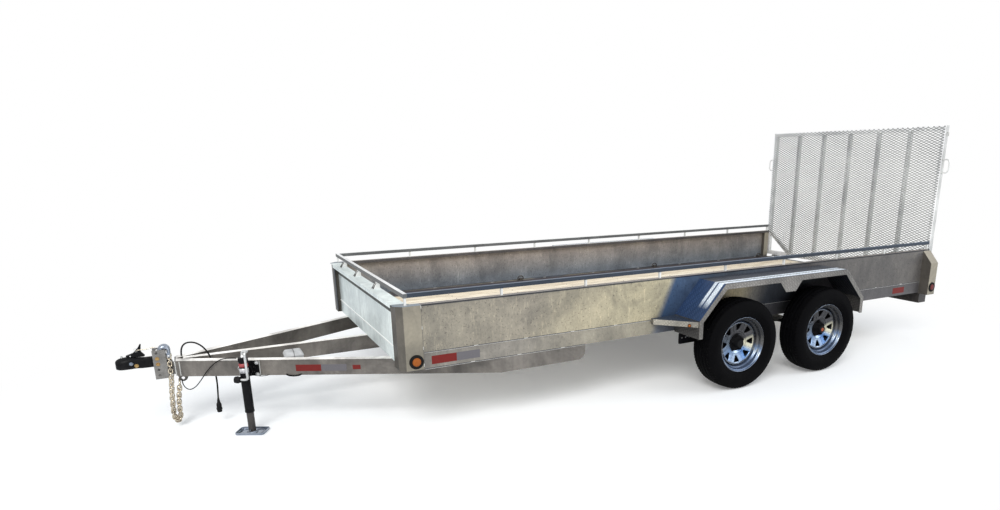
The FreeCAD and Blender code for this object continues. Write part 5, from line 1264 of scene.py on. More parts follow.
def weldBead(start, end, radius, step=0.006):
    # rippled bead between two places
    start, end = Vector(start), Vector(end)
    n = max(4, int((end - start).length / step * 2))
    line = [start.lerp(end, k / n) for k in range(n + 1)]
    return tubeShape(line, lambda s: radius * (1.0 + 0.16 * math.sin(s * n * math.pi)) * (0.6 if s in (0, 1) else 1), 8)


def makeHookKeepers():
    # spring keeper across each hook's mouth and a cotter in each clevis
    shape = Shape()
    for side in (1, -1):
        line = [ahead(x, side * 0.022, z) for x, z in ((1.2010, 0.505), (1.2160, 0.512), (1.2340, 0.508))]
        shape.tube(roundedLine(line, 0.008, 4), 0.0024, 8, flat=1.8)
        shape.lathe([(0, 0), (0.0062, 0), (0.0062, 0.0035), (0.0045, 0.0048), (0, 0.0048)], 16,
                    place=facing(ahead(1.203, side * 0.0322, 0.4836), (0, side, 0)))
    shape.piece("hookKeepers", "zincPlate")
    # the hooks' heavy bows over their shanks
    bows = Shape()
    for side in (1, -1):
        line = [ahead(x, side * 0.018, z) for x, z in ((1.1985, 0.492), (1.1990, 0.522), (1.2120, 0.5395),
                                                       (1.2330, 0.5405), (1.2500, 0.527), (1.2540, 0.503))]
        bows.tube(roundedLine(line, 0.014, 5), lambda s: 0.0075 + 0.0065 * math.sin(math.pi * s), 14)
    bows.piece("hookBows", "hookZinc", smooth=1.2)


def makeRailWires():
    # slack wire and the hose of the lighting loom under the left tongue rail, each as its radius and its route
    loom = ((0.0020, ((0.752, 0.286, 0.3570), (0.735, 0.292, 0.3515), (0.706, 0.308, 0.3475), (0.676, 0.324, 0.3515),
                      (0.660, 0.333, 0.3570))),
            (0.0052, ((0.566, 0.383, 0.3590), (0.553, 0.390, 0.3510), (0.526, 0.404, 0.3475), (0.497, 0.420, 0.3510),
                      (0.482, 0.428, 0.3590))))
    wires = Shape()
    for radius, route in loom:
        wires.tube(roundedLine([ahead(*p) for p in route], 0.012, 5), radius, 10)
    wires.piece("loomWires", "blackRubber", smooth=1.0)


makeRailWires()
makeCoupler()
makeLatch()
makeTongueBolts()
makeHookKeepers()
print("coupler made")

# jack
jackLow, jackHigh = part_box("jack_inner_tube")
jackPlace = Matrix.Translation(((jackLow.x + jackHigh.x) / 2, (jackLow.y + jackHigh.y) / 2, 0)) @ \
    Matrix.Rotation(-railAngle, 4, "Z")


def roundedRect(halfLong, halfWide, corner, steps=5):
    points = []
    for cx, cy, start in ((1, 1, 0), (-1, 1, 90), (-1, -1, 180), (1, -1, 270)):
        for k in range(steps + 1):
            a = math.radians(start + 90 * k / steps)
            points.append((cx * (halfLong - corner) + corner * math.cos(a),
                           cy * (halfWide - corner) + corner * math.sin(a)))
    return points


jackLabels = {"radius": 0.02722, "start": 20, "sweep": 165, "thick": 0.00025, "bands": (
    ("blankLabelBand", "labelSilver", 0.400, 0.436), ("redLabelBand", "labelRed", 0.4365, 0.462))}


def makeJack():
    # round-bar crank with its grip, drawn about the jack's own line
    bar = roundedLine([(0, 0, 0.489), (0, 0, 0.537), (-0.036, 0, 0.537), (-0.036, 0.045, 0.537), (-0.036, 0.045, 0.366),
                       (0.018, 0.045, 0.366)], 0.016, 6)
    crank = Shape().tube(bar, 0.0078, 14, place=jackPlace)
    crank.lathe([(0.0125, 0.4955), (0.0125, 0.503), (0.0095, 0.506), (0.0095, 0.514), (0.008, 0.516)], 24,
                place=jackPlace)
    handle = crank.piece("crankBar", "zincPlate", "jack", 1.0)
    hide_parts("jack_crank")
    grip = [(0.0079, 0.0), (0.0150, 0.001), (0.0188, 0.004), (0.0192, 0.007), (0.0180, 0.009), (0.0196, 0.013),
            (0.0205, 0.018), (0.0205, 0.024), (0.0194, 0.030), (0.0205, 0.033), (0.0198, 0.036), (0.0140, 0.0385),
            (0.0, 0.0385)]
    gripPlace = jackPlace @ facing(Vector((0.006, 0.045, 0.366)), (1, 0, 0))
    gripShape = Shape().lathe(grip, 28, place=gripPlace)
    for k in range(10):
        spot = gripPlace @ Matrix.Rotation(2 * math.pi * k / 10, 4, "Z")
        gripShape.tube([(0.0190, 0, 0.011), (0.0204, 0, 0.016), (0.0208, 0, 0.023), (0.0198, 0, 0.029)], 0.0013, 6,
                       place=spot)
    gripShape.piece("crankGrip", "blackPlastic", "jack", 0.9)
    # cap and collars of the outer tube, its two label bands
    tube = Shape()
    tube.lathe([(0.0272, 0.470), (0.0290, 0.471), (0.0290, 0.489), (0.0270, 0.4955), (0.0150, 0.4985),
                (0.0128, 0.4985)], 40, place=jackPlace)
    tube.lathe([(0.0271, 0.140), (0.0283, 0.1405), (0.0283, 0.150), (0.0271, 0.1512)], 40, place=jackPlace)
    tube.lathe([(0.0271, 0.430), (0.0283, 0.431), (0.0283, 0.437), (0.0271, 0.438)], 40, place=jackPlace)
    for turn in (0, math.pi):
        spot = jackPlace @ Matrix.Rotation(turn, 4, "Z") @ facing(Vector((0.0290, 0, 0.480)), (1, 0, 0))
        tube.lathe([(0, 0.002), (0.0035, 0.0018), (0.0042, 0)], 14, place=spot)
    tube.piece("jackCollars", "blackPaint", "jack")
    radius, start, sweep, steps = jackLabels["radius"], jackLabels["start"], jackLabels["sweep"], 26
    for name, material, low, high in jackLabels["bands"]:
        points = []
        for k in range(steps + 1):
            a = math.radians(start + sweep * k / steps)
            points += [(radius * math.cos(a), radius * math.sin(a), z) for z in (low, high)]
        faces = [[2 * k, 2 * k + 2, 2 * k + 3, 2 * k + 1] for k in range(steps)]
        sheeted(Shape().add(points, faces, jackPlace).piece(name, material, "jack"), jackLabels["thick"], 1.0)
    # swivel: the holes round its flange, the pull pin with its ring, the mount's bolts
    swivel = Shape()
    for c, s in circle(8, math.pi / 8):
        spot = Vector((0.0395 * c, -0.0548, 0.402 + 0.0395 * s))
        swivel.lathe([(0, 0.0012), (0.003, 0.001), (0.0034, 0)], 10, place=jackPlace @ facing(spot, (0, 1, 0)))
    swivel.piece("swivelHoles", "darkSteel")
    pin = Shape()
    pin.lathe([(0, 0), (0.0055, 0), (0.0055, 0.020), (0.0038, 0.022), (0.0038, 0.034), (0.0068, 0.035),
               (0.0068, 0.039), (0, 0.0395)], 18, place=jackPlace @ facing(Vector((0.036, -0.0543, 0.428)), (0, 1, 0)))
    loop = [(0.036 + 0.011 * c, -0.0205, 0.418 + 0.011 * s) for c, s in circle(22)]
    pin.tube(loop, 0.0014, 6, closed=True, place=jackPlace)
    pin.piece("pullPin", "zincPlate", "jack")
    bolts = [jackPlace @ facing(Vector((x, -0.0648, z)), (0, 1, 0)) for x in (-0.050, 0.050) for z in (0.366, 0.442)]
    placeMany("jackMountBolts", hexBoltShape(0.016, 0.008, 1.4, 0.008), bolts, "zincPlate")


def makeFoot():
    # (inset, height) of the stamped foot's skin, from its underside's middle out and over the top
    profile = ((0.055, 0.0), (0.006, 0.0), (0.0022, 0.0012), (0.0, 0.0055), (0.0, 0.0158), (0.0032, 0.0158),
               (0.0034, 0.0066), (0.0062, 0.0036), (0.020, 0.0031), (0.0262, 0.0052), (0.0315, 0.0052))
    halfLong, halfWide = 0.090, 0.055
    rings = []
    for inset, z in profile:
        inset = min(inset, 0.047)
        outline = roundedRect(halfLong - inset, halfWide - inset, max(0.016 - inset * 0.3, 0.0035))
        rings.append([(x, y, z) for x, y in outline])
    foot = Shape().loft(rings, place=jackPlace)
    foot.lathe([(0.0345, 0.0050), (0.0330, 0.0085), (0.0295, 0.0105), (0.0285, 0.0140), (0.0222, 0.0142)], 36,
               place=jackPlace)
    foot.lathe([(0, 0), (0.0058, 0), (0.0058, 0.003), (0.0042, 0.0045), (0.0042, 0.064), (0, 0.064)], 14,
               place=jackPlace @ facing(Vector((0, -0.032, 0.0255)), (0, 1, 0)))
    piece = foot.piece("stampedFoot", "hookZinc", "jack_leg", 0.7)
    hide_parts("jack_foot")


makeJack()
makeFoot()


# battery box of the breakaway kit
case = {"back": 0.438, "front": 0.552, "near": 0.284, "far": 0.168, "floor": 0.3998, "lid": 0.446}


def makeBatteryBox():
    low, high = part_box("battery_box")
    long, wide = case["front"] - case["back"], case["near"] - case["far"]
    mid = ahead(case["back"] + long / 2, case["far"] + wide / 2, 0)
    # (inset, height) from the floor over the lid's lip to its top
    levels = ((0.004, case["floor"]), (0.0015, case["floor"] + 0.003), (0.001, case["lid"] - 0.008),
              (-0.002, case["lid"] - 0.007), (-0.002, case["lid"]), (0.000, case["lid"] + 0.0025), (0.006, 0.461),
              (0.012, 0.4665), (0.020, 0.4675))
    box = Shape().loft([[(mid.x + x * (1 - inset / 0.057), mid.y + y * (1 - inset / 0.058), z)
                         for x, y in roundedRect(long / 2, wide / 2, 0.009)] for inset, z in levels])
    for k in range(5):  # upright ribs on the near side
        x = mid.x - 0.040 + 0.020 * k
        box.box((x - 0.0015, mid.y + 0.0555, 0.404), (x + 0.0015, mid.y + 0.0592, 0.436), 0.0008)
    piece = box.piece("batteryCase", "greyPlastic")
    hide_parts("battery_box")
    panel = Shape()
    for back, front, half, bottom, top in ((-0.034, 0.034, 0.030, 0.4672, 0.4690),
                                           (0.008, 0.024, 0.012, 0.4688, 0.4705)):
        panel.box((mid.x + back, mid.y - half, bottom), (mid.x + front, mid.y + half, top), 0.0007)
    panel.piece("batteryPanel", "greyPlastic")
    shelf = Shape()
    for back, right, front, left in ((low.x + 0.001, low.y + 0.001, high.x - 0.001, 0.300),
                                     (low.x + 0.001, 0.288, low.x + 0.030, 0.372),
                                     (high.x - 0.030, 0.288, high.x - 0.001, 0.312)):
        shelf.box((back, right, 0.3952), (front, left, case["floor"]), 0.001)
    shelf.piece("batteryShelf", "galvDullShaded")
    strap = Shape().tube([(mid.x, y, z) for y, z in (
        (case["far"] - 0.002, 0.400), (case["far"] - 0.0022, 0.445), (mid.y - 0.044, 0.4690), (mid.y + 0.044, 0.4690),
        (case["near"] + 0.0022, 0.445), (case["near"] + 0.002, 0.400))], 0.0011, 6, flat=6.0)
    strap.piece("batteryStrap", "blackRubber")


makeBatteryBox()
print("jack and battery box made")


# lights and reflectors
# (lens radius, grommet radius, depth)
lampSizes = {"marker": (0.0270, 0.0440, 0.0105), "tail": (0.0335, 0.0425, 0.0138)}


def roundLamp(radius, grommet, depth):
    # domed lens with pressed rings, seated in a rubber grommet
    rubber = [(radius - 0.001, 0.0), (radius - 0.001, 0.0062), (radius + 0.0012, 0.0078), (radius + 0.004, 0.0066),
              (grommet - 0.003, 0.0058), (grommet - 0.0004, 0.0036), (grommet, 0.0)]
    glass = [(radius - 0.0008, 0.0), (radius - 0.001, depth - 0.004)]
    steps = 9
    for k in range(steps):
        r = (radius - 0.002) * (1 - k / steps)
        lift = depth - 0.0035 + 0.0035 * (1 - (r / radius) ** 2)
        glass += [(r, lift), (r - (radius - 0.002) / steps * 0.45, lift + 0.0007)]
    glass += [(0.0, depth + 0.0004)]
    return latheShape(rubber, 48), latheShape(glass, 40)


def makeLamps():
    rubber, amber, red = Shape(), Shape(), Shape()
    for side in (1, -1):
        spots = [(ahead(-0.097, side * (wallFace + 0.0002), 0.506), (0, side, 0), "marker", amber),
                 (ahead(-4.918, side * 1.1052, 0.515), (0, side, 0), "marker", red)]
        spots += [(ahead(-4.9662, side * 1.060, z), (-1, 0, 0), "tail", red) for z in (0.520, 0.600)]
        for spot, normal, kind, glass in spots:
            ring, lens = roundLamp(*lampSizes[kind])
            rubber.add(*ring, facing(spot, normal))
            glass.add(*lens, facing(spot, normal))
        # small clearance lamp on the step's edge
        spot = facing(ahead(-1.957, side * 1.2566, 0.549), (0.32, side, 0))
        rubber.lathe([(0.0095, 0), (0.0095, 0.003), (0.0125, 0.0038), (0.0135, 0.002), (0.0135, 0)], 24, place=spot)
        amber.lathe([(0.0096, 0), (0.0092, 0.0045), (0.006, 0.0062), (0, 0.0068)], 20, place=spot)
    rubber.piece("lampGrommets", "blackRubber")
    amberLamps = amber.piece("amberLamps", "amberLens", smooth=1.0)
    redLamps = red.piece("redLamps", "redLens", smooth=1.0)
    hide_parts("marker_lights")
    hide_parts("tail_lamps")


# reflector tapes as finish and stretches behind the box front, ahead of it, and across the rear beam
tapes = {"thick": 0.0004, "redTape": {"side": ((0.190, 0.348, 0.478), (4.490, 4.650, 0.477)),
                                      "tongue": ((0.509, 0.368, 0.378, 0.421), (0.192, 0.148, 0.387, 0.416)),
                                      "rear": ((-0.62, -0.30), (0.30, 0.62))},
         "whiteTape": {"side": ((0.3485, 0.500, 0.478),), "tongue": ((0.3675, 0.226, 0.378, 0.421),),
                       "rear": ((-0.30, 0.002), (0.62, 0.822))}}


def makeTapes():
    for name in ("redTape", "whiteTape"):
        strips, thick = Shape(), tapes["thick"]
        for side in (1, -1):
            for start, end, low in tapes[name]["side"]:
                y = side * (wallFace + thick / 2)
                strips.box(ahead(-end, y - thick, low), ahead(-start, y + thick, low + 0.052), 0.0002)
            for start, end, low, high in tapes[name]["tongue"]:
                middle = (start + end) / 2
                half = (start - end) / 2 / math.cos(railAngle)
                place = Matrix.Translation(ahead(middle, side * (0.6793 - middle * railSlope), 0))
                strips.box((-half, -0.0006, low), (half, 0.0006, high), 0.0002,
                           place=place @ Matrix.Rotation(-side * railAngle, 4, "Z"))
        for start, end in tapes[name]["rear"]:
            strips.box(ahead(-4.9926, start, 0.378), ahead(-4.9914, end, 0.430), 0.0002)
        strips.piece(name + "Strips", name)


makeLamps()
makeTapes()
print("lamps and tapes made")


# seams, welds and folded edges of the box
seamSizes = {"gap": 0.028, "high": 0.0042, "edge": 0.0022}
railPosts = {"count": 9, "first": 0.057, "pitch": 0.610, "out": 0.993, "heights": (0.8507, 0.8943)}


def makeSeams():
    dark, bead, edge = Shape(), Shape(), Shape()

    def slit(side, start, end, low, high, out=0.0004):
        # thin dark strip on a side wall's face, between two places behind the box front
        y = side * (wallFace + 0.0001)
        dark.box(ahead(-end, min(y, y + side * out), low), ahead(-start, max(y, y + side * out), high))

    for side in (1, -1):
        y = side * (wallFace + 0.0001)
        for z, last, run in ((0.5575, 4.948, 0.315), (0.4553, 1.262, 0.29)):
            at = 0.148
            while at < last - 0.02:
                # one open joint with a painted highlight along the lower sheet's edge, then a stitch of weld
                end = min(at + run, last)
                low = z - seamSizes["high"] / 2
                slit(side, at, end, low, z + seamSizes["high"] / 2)
                edge.box(ahead(-end, min(y, y + side * 0.0004), low - seamSizes["edge"]),
                         ahead(-at, max(y, y + side * 0.0004), low))
                if end < last:
                    bead.weld(ahead(-end, y, z), ahead(-end - seamSizes["gap"], y, z), 0.0028)
                at = end + seamSizes["gap"]
        # upright joint between the corner post and the wall
        slit(side, 0.1430, 0.1444, 0.459, 0.846)
        for z in (0.470, 0.575, 0.700, 0.826):
            bead.weld(ahead(-0.1436, y, z), ahead(-0.1436, y, z + 0.020), 0.0022)
        # rear upright joint and the pressed dashes near the wall's top
        slit(side, 4.8911, 4.8925, 0.560, 0.828)
        for z in (0.820, 0.812):
            for x in (4.795, 4.831, 4.867, 4.903):
                slit(side, x, x + 0.026, z - 0.0014, z + 0.0014, 0.0005)
        # inner joint along the floor
        for k in range(9):
            x = 0.30 + 0.555 * k
            bead.weld(ahead(-x, side * 0.9705, 0.5572), ahead(-x - 0.03, side * 0.9705, 0.5572), 0.0025)
    # front panel's welds to the posts
    for side in (1, -1):
        for low, high in ((0.470, 0.520), (0.640, 0.690), (0.780, 0.825)):
            bead.weld(ahead(-0.0315, side * 0.8795, low), ahead(-0.0315, side * 0.8795, high), 0.0026)
    # folded lip of the cap over the panel, a painted shadow strip on the panel under it, and the panel's bright joint
    for name, material, low, high, bevel in (
            ("frontCap", "galvPanel", (0.0055, -0.893, 0.8225), (0.0088, 0.893, 0.8465), 0.0006),
            ("capShade", "capShadowGrey", (-0.0300, -0.879, 0.7690), (-0.0290, 0.879, 0.8455), 0.0),
            ("panelJoint", "whiteJoint", (-0.0300, -0.879, 0.5505), (-0.0262, 0.879, 0.5590), 0.0008)):
        Shape().box(ahead(*low), ahead(*high), bevel).piece(name, material, smooth=0)
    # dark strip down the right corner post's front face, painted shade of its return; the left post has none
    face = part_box("corner_posts")[1].x
    dark.box(Vector((face - 0.0002, -0.912, 0.478)), Vector((face + 0.0004, -0.858, 0.832)))
    dark.piece("openJointsAndPostShade", "seamShadow", smooth=0)
    edge.piece("jointEdgeHighlights", "seamEdgeHighlight", smooth=0)
    bead.piece("stitchWelds", "weldZinc", smooth=1.2)
    # collars of weld at the feet and heads of the tie rail's posts
    feet, s = Shape(), railPosts
    for side in (1, -1):
        for i in range(s["count"]):
            x = -(s["first"] + s["pitch"] * i)
            for z in s["heights"]:
                ring = [ahead(x + cx * 0.0075, side * s["out"] + cy * 0.0105, z) for cx, cy in
                        ((-1, -0.8), (-0.8, -1), (0.8, -1), (1, -0.8), (1, 0.8), (0.8, 1), (-0.8, 1), (-1, 0.8))]
                feet.tube(ring, 0.0021, 6, closed=True)
    feet.piece("postWelds", "weldZinc", smooth=1.2)


def makeFrontGussets():
    # folded gussets under the front tie rail
    shape = Shape()
    outline = [(0.0, 0.850), (0.036, 0.850), (0.024, 0.868), (0.010, 0.888), (-0.006, 0.888), (-0.006, 0.850)]
    for y in (-0.691, -0.198, 0.360):
        for dy in (-0.016, 0.013):
            shape.plate(outline, 0.003, -0.052, y + dy)
        shape.box(ahead(-0.0605, y - 0.016, 0.8502), ahead(-0.0575, y + 0.016, 0.8952), 0.0005)
    shape.piece("tieRailGussets", "galvDullShaded")


makeSeams()
makeFrontGussets()
print("seams made")


# floor screws and D-ring plates
floorScrews = {"planks": 10, "rows": 9, "first": 0.325, "pitch": 0.555, "off": 0.055, "wander": 0.006, "top": 0.5530}


def makeFloorScrews():
    s, places = floorScrews, []
    for plank in range(s["planks"]):
        middle = (plank - (s["planks"] - 1) / 2) * plankPitch
        for i in range(s["rows"]):
            x = -(s["first"] + s["pitch"] * i)
            for off in (-s["off"], s["off"]):
                y = middle + off + s["wander"] * math.sin(7 * plank + 3 * i)
                places.append(Matrix.Translation(ahead(x, y, s["top"])))
    head = latheShape([(0.0, 0.0004), (0.0022, 0.0003), (0.0030, 0.0012), (0.0052, 0.0011), (0.0058, 0.0002),
                       (0.0060, -0.0006)], 10)
    placeMany("floorScrews", head, places, "darkSteel")


tieRings = {"behind": (0.150, 1.7107, 3.2873, 4.792), "out": 0.951, "bar": 0.0055}


def makeTieRings():
    # pressed tray with a forged D-ring folded down in its clip
    ringShape, plate = Shape(), Shape()
    for side in (1, -1):
        for behind in tieRings["behind"]:
            y = side * tieRings["out"]
            line = [(-0.028, 0.5665), (-0.028, 0.578), (-0.016, 0.5945), (0.016, 0.5945), (0.028, 0.578),
                    (0.028, 0.5665)]
            loop = roundedLine([ahead(-behind + x, y, z) for x, z in line], 0.012, 5, closed=True)
            ringShape.tube(loop, tieRings["bar"], 12, closed=True)
            clip = [(-0.0175, 0.5535), (-0.0095, 0.5545), (-0.0085, 0.5700), (-0.0035, 0.5752), (0.0035, 0.5752),
                    (0.0085, 0.5700), (0.0095, 0.5545), (0.0175, 0.5535)]
            inner = [(-0.0175, 0.5565), (-0.0125, 0.5572), (-0.0112, 0.5712), (-0.0050, 0.5782), (0.0050, 0.5782),
                     (0.0112, 0.5712), (0.0125, 0.5572), (0.0175, 0.5565)]
            outline = clip + inner[::-1]
            points, faces = prismShape(outline, 0.024)
            plate.add([ahead(-behind - 0.012 + depth, y + a, z) for a, z, depth in points], faces)
            plate.box(ahead(-behind - 0.026, y - 0.0185, 0.5531), ahead(-behind + 0.026, y + 0.0185, 0.5558), 0.0008)
            for x in (-0.020, 0.020):
                spot = ahead(-behind + x, y - side * 0.011, 0.5556)
                plate.hexBolt(0.009, 0.0042, 1.2, place=Matrix.Translation(spot))
    rings = ringShape.piece("forgedRings", "darkSteel", smooth=1.0)
    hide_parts("tie_down_rings")
    plate.piece("ringClips", "darkSteel")


makeFloorScrews()
makeTieRings()


# springs, shackles and axle fixings
spring = {"leaves": (0.335, 0.300, 0.232, 0.165, 0.105), "thick": 0.0065, "wide": 0.044, "base": 0.3702, "rise": 0.0085}


def makeSprings():
    steel, zinc = Shape(), Shape()
    for side in (1, -1):
        y = side * springLine
        for axle in axlesBehind:
            for k, reach in enumerate(reversed(spring["leaves"])):
                low, thick = spring["base"] + k * spring["thick"], spring["thick"] - 0.0006
                rings = []
                for j in range(17):
                    x = -reach + 2 * reach * j / 16
                    wide = spring["wide"] / 2 * (1 - max(0, (abs(x) - reach + 0.03) / 0.03) * 0.35)
                    z = low + spring["rise"] * (x / 0.335) ** 2
                    rings.append([ahead(-axle + x, y + dy, z + dz) for dy, dz in (
                        (-wide, 0), (wide, 0), (wide, thick), (-wide, thick))])
                steel.loft(rings)
            for x in (-0.335, 0.335):  # rolled eyes with their bushes
                eye = [(0.0085, -0.0218), (0.0140, -0.0218), (0.0142, -0.020), (0.0142, 0.020), (0.0140, 0.0218),
                       (0.0085, 0.0218)]
                steel.lathe(eye, 24, closed=True, place=facing(ahead(-axle + x, y, 0.4065), (0, 1, 0)))
            for x in (-0.170, 0.170):  # rebound clips
                for near, far, low, high in ((-0.0245, -0.0222, 0.382, 0.4045), (0.0222, 0.0245, 0.382, 0.4045),
                                             (-0.0245, 0.0245, 0.4045, 0.4067)):
                    zinc.box(ahead(-axle + x - 0.010, y + near, low), ahead(-axle + x + 0.010, y + far, high), 0.0006)
            for x in (-0.042, 0.042):  # nuts and thread ends under the clamp plate
                for dy in (-0.028, 0.028):
                    nut = facing(ahead(-axle + x, y + dy, 0.3040), (0, 0, -1))
                    zinc.hexBolt(0.0165, 0.0080, 1.15, 0.006, place=nut)
    leaves = steel.piece("leafPacks", "blackPaint")
    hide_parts("leaf_springs")
    zinc.piece("springClamps", "zincPlate")


hanger = {"wide": 0.038, "low": 0.392, "pin": 0.406, "plate": 0.0047}
middleHanger = {"wide": 0.058, "low": 0.404, "pin": 0.420, "plate": 0.0047}
rocker = {"thick": 0.036, "reach": 0.084, "outline": (
    (-0.094, 0.4170), (-0.094, 0.3960), (-0.060, 0.4010), (0, 0.4040), (0.060, 0.4010), (0.094, 0.3960),
    (0.094, 0.4170), (0.030, 0.4330), (-0.030, 0.4330))}
bracket = {"behind": 2.132, "out": 1.0205, "height": 0.388, "thick": 0.0045, "holes": (-0.045, -0.012, 0.024)}


def makeHangers():
    shape, bolts, arms = Shape(), Shape(), Shape()

    def pinHeads(behind, y, out, z, *sizes):
        for way in (1, -1):
            bolts.hexBolt(*sizes, place=facing(ahead(-behind, y + way * out, z), (0, way, 0)))

    for side in (1, -1):
        y = side * springLine
        for sizes, behind in zip((hanger, middleHanger, hanger), hangersBehind):
            wide, low = sizes["wide"], sizes["low"]
            outline = ((-wide, 0.4545), (wide, 0.4545), (wide * 0.72, 0.428), (0.018, low), (-0.018, low),
                       (-wide * 0.72, 0.428))
            for dy in (-0.0295, 0.0248):
                shape.plate(outline, sizes["plate"], -behind, y + dy, 0.010)
            shape.box(ahead(-behind - wide, y - 0.0295, 0.4500), ahead(-behind + wide, y + 0.0295, 0.4548), 0.0008)
            pinHeads(behind, y, 0.0297, sizes["pin"], 0.020, 0.009, 1.3)
        # rocker that shares the load between the two springs, hung with two links at each end
        behind = hangersBehind[1]
        arms.plate(rocker["outline"], rocker["thick"], -behind, y - rocker["thick"] / 2, 0.010)
        for eye in (behind - rocker["reach"], behind + rocker["reach"]):
            for dy in (-0.0262, 0.0222):
                shape.plate(((-0.013, 0.392), (0.013, 0.392), (0.013, 0.424), (-0.013, 0.424)), 0.004, -eye, y + dy,
                            0.012, 4)
            pinHeads(eye, y, 0.0262, 0.4065, 0.017, 0.008, 1.2)
        # dark bracket with three holes under the fender's front end
        s = bracket
        points, faces = prismShape(roundedRect(0.076, 0.042, 0.010, 3), s["thick"])
        shape.add([ahead(x - s["behind"], side * (s["out"] + depth), s["height"] + z) for x, z, depth in points], faces)
        for x in s["holes"]:
            spot = ahead(-s["behind"] - x, side * (s["out"] + s["thick"] + 0.0002), s["height"] + 0.004)
            bolts.lathe([(0, 0.001), (0.006, 0.0008), (0.0064, 0)], 14, place=facing(spot, (0, side, 0)))
    hangers = shape.piece("springHangers", "blackPaint")
    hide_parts("spring_hangers")
    arms.piece("equalizers", "darkSteel")
    bolts.piece("hangerBolts", "zincPlate")


makeSprings()
makeHangers()
print("springs made")


# gate handles, keeper studs, welds and hinge pins
gateFittings = {"bar": 0.0065, "low": 1.5325, "high": 1.6475, "near": 1.0045, "far": 1.0655, "bend": 0.016,
                "ribs": 0.327, "hinges": (-0.900, -0.300, 0.300, 0.900), "hingeHalf": 0.0532}


def makeGateHardware():
    handles, g = Shape(), gateFittings
    for side in (1, -1):
        line = ((g["near"], g["high"]), (1.0500, g["high"]), (g["far"], 1.6250), (g["far"], 1.5550), (1.0500, g["low"]),
                (g["near"], g["low"]))
        points = [ahead(-gatePlane, side * y, z) for y, z in line]
        handles.tube(roundedLine(points, g["bend"], 5), g["bar"], 12)
    bars = handles.piece("bentHandles", "galvBright", "ramp_gate", 1.0)
    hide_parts("gate_handles")
    welds = Shape()
    for side in (1, -1):
        for z in (g["high"], g["low"]):
            ring = [ahead(-gatePlane + 0.0082 * c, side * 1.0058, z + 0.0082 * s) for c, s in circle(16)]
            welds.tube(ring, 0.0022, 6, closed=True)
        # keeper stud near the head of each stile
        stud = [ahead(-4.990, side * y, z) for y, z in ((1.003, 1.877), (1.021, 1.877), (1.021, 1.849))]
        welds.tube(roundedLine(stud, 0.006, 4), 0.0048, 10)
    # welds where the ribs meet the head and foot of the gate
    for i in (-2, -1, 0, 1, 2):
        for z in (0.6185, 1.8975):
            for dy in (-0.016, 0.016):
                y = g["ribs"] * i + dy
                welds.weld(ahead(-4.9745, y, z), ahead(-5.0045, y, z), 0.0024)
    welds.piece("gateWelds", "weldZinc", "ramp_gate", 1.2)
    pins = [facing(ahead(-5.020, y + way * g["hingeHalf"], 0.560), (0, way, 0)) for y in g["hinges"] for way in (-1, 1)]
    placeMany("hingePins", latheShape([(0.0074, 0), (0.0074, 0.0022), (0.0055, 0.0042), (0, 0.0046)], 18), pins,
              "zincPlate")


makeGateHardware()
print("gate hardware made")


# light, backdrop and floor
lighting = {"sky": 0.62, "skyColour": (0.93, 0.965, 1.0, 1), "floorReach": 90,
            "floorColour": (0.885, 0.90, 0.917, 1), "floorGlow": 0.16, "fade": (4.3, 2.9), "fadeFrom": 0.62,
            "fadeTo": 1.12}
# name: (place, power, size, colour)
lamps = {"keyLight": ((7.5, 9.0, 9.5), 1350, 7.0, (1.0, 0.985, 0.96)),
         "fillLight": ((-9.0, 7.5, 6.0), 420, 8.0, (0.95, 0.975, 1.0))}


def mixShaders(tree, factor, first, second, output):
    mix = addNode(tree, "ShaderNodeMixShader", {0: factor, 1: first, 2: second})
    tree.links.new(mix.outputs[0], output.inputs["Surface"])


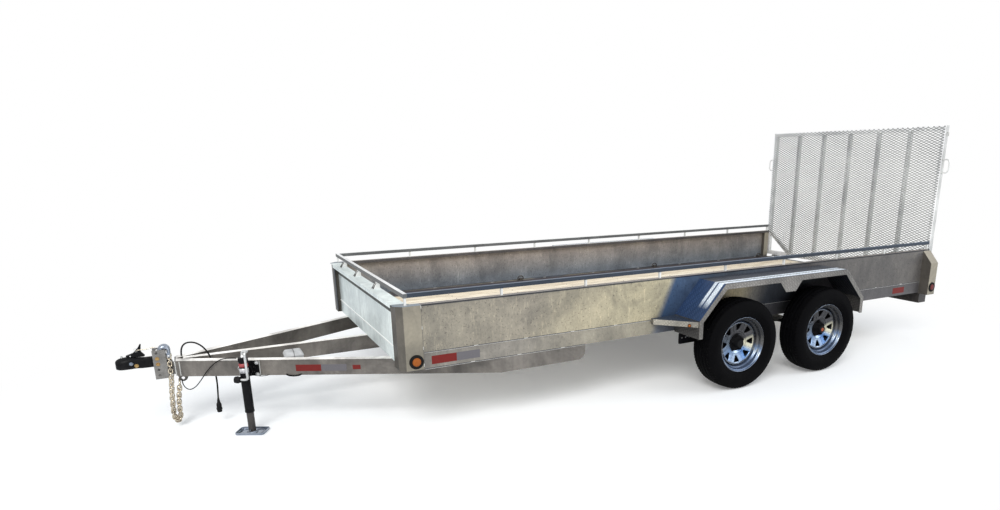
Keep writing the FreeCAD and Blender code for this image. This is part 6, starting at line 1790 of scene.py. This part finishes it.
def makeLights():
    world = bpy.data.worlds.new("paleSky")
    bpy.context.scene.world = world
    world.use_nodes = True
    tree = world.node_tree
    tree.nodes.clear()
    # white where the camera or a reflection looks, a pale sky for the light
    path = addNode(tree, "ShaderNodeLightPath").outputs
    seen = calculate(tree, "MAXIMUM", path["Is Camera Ray"],
                     calculate(tree, "MAXIMUM", path["Is Glossy Ray"], path["Is Transmission Ray"]))
    soft = addNode(tree, "ShaderNodeBackground", {"Color": lighting["skyColour"], "Strength": lighting["sky"]})
    white = addNode(tree, "ShaderNodeBackground", {"Color": (1, 1, 1, 1), "Strength": 1.0})
    mixShaders(tree, seen, soft.outputs[0], white.outputs[0], addNode(tree, "ShaderNodeOutputWorld"))
    for name, (spot, power, size, colour) in lamps.items():
        data = bpy.data.lights.new(name, "AREA")
        data.shape, data.size, data.energy, data.color = "DISK", size, power, colour
        lamp = bpy.data.objects.new(name, data)
        lamp.matrix_world = facing(Vector(spot), Vector(spot) - Vector((0.2, 0, 0.5)))
        bpy.context.collection.objects.link(lamp)


def makeFloor():
    # a wide pale floor that runs out of sight, white where the camera sees it
    material, tree, shader = newMaterial("paleFloor")
    path = addNode(tree, "ShaderNodeLightPath").outputs
    glow = times(tree, path["Is Camera Ray"], lighting["floorGlow"])
    feed(shader, {"Base Color": lighting["floorColour"], "Roughness": 0.9, "Specular IOR Level": 0.0,
                  "Emission Color": (1, 1, 1, 1), "Emission Strength": glow})
    # away from the trailer the floor turns to the backdrop's white
    where = stretched(tree, (1 / lighting["fade"][0], 1 / lighting["fade"][1], 1))
    distance = addNode(tree, "ShaderNodeVectorMath", {0: where}, operation="LENGTH").outputs["Value"]
    far = addNode(tree, "ShaderNodeMapRange", {"Value": distance, "From Min": lighting["fadeFrom"],
                                               "From Max": lighting["fadeTo"]}, interpolation_type="SMOOTHSTEP")
    white = addNode(tree, "ShaderNodeEmission", {"Color": (1, 1, 1, 1), "Strength": 1.0})
    mixShaders(tree, times(tree, far.outputs[0], path["Is Camera Ray"]), shader.outputs[0], white.outputs[0],
               tree.nodes["Material Output"])
    mesh = bpy.data.meshes.new("paleFloor")
    reach = lighting["floorReach"]
    mesh.from_pydata([(-reach, -reach, 0), (reach, -reach, 0), (reach, reach, 0), (-reach, reach, 0)], [],
                     [[0, 1, 2, 3]])
    mesh.materials.append(material)
    floor = bpy.data.objects.new("paleFloor", mesh)
    bpy.context.collection.objects.link(floor)


makeLights()
makeFloor()
bpy.context.scene.view_settings.view_transform = "Standard"
print("lights and floor set")
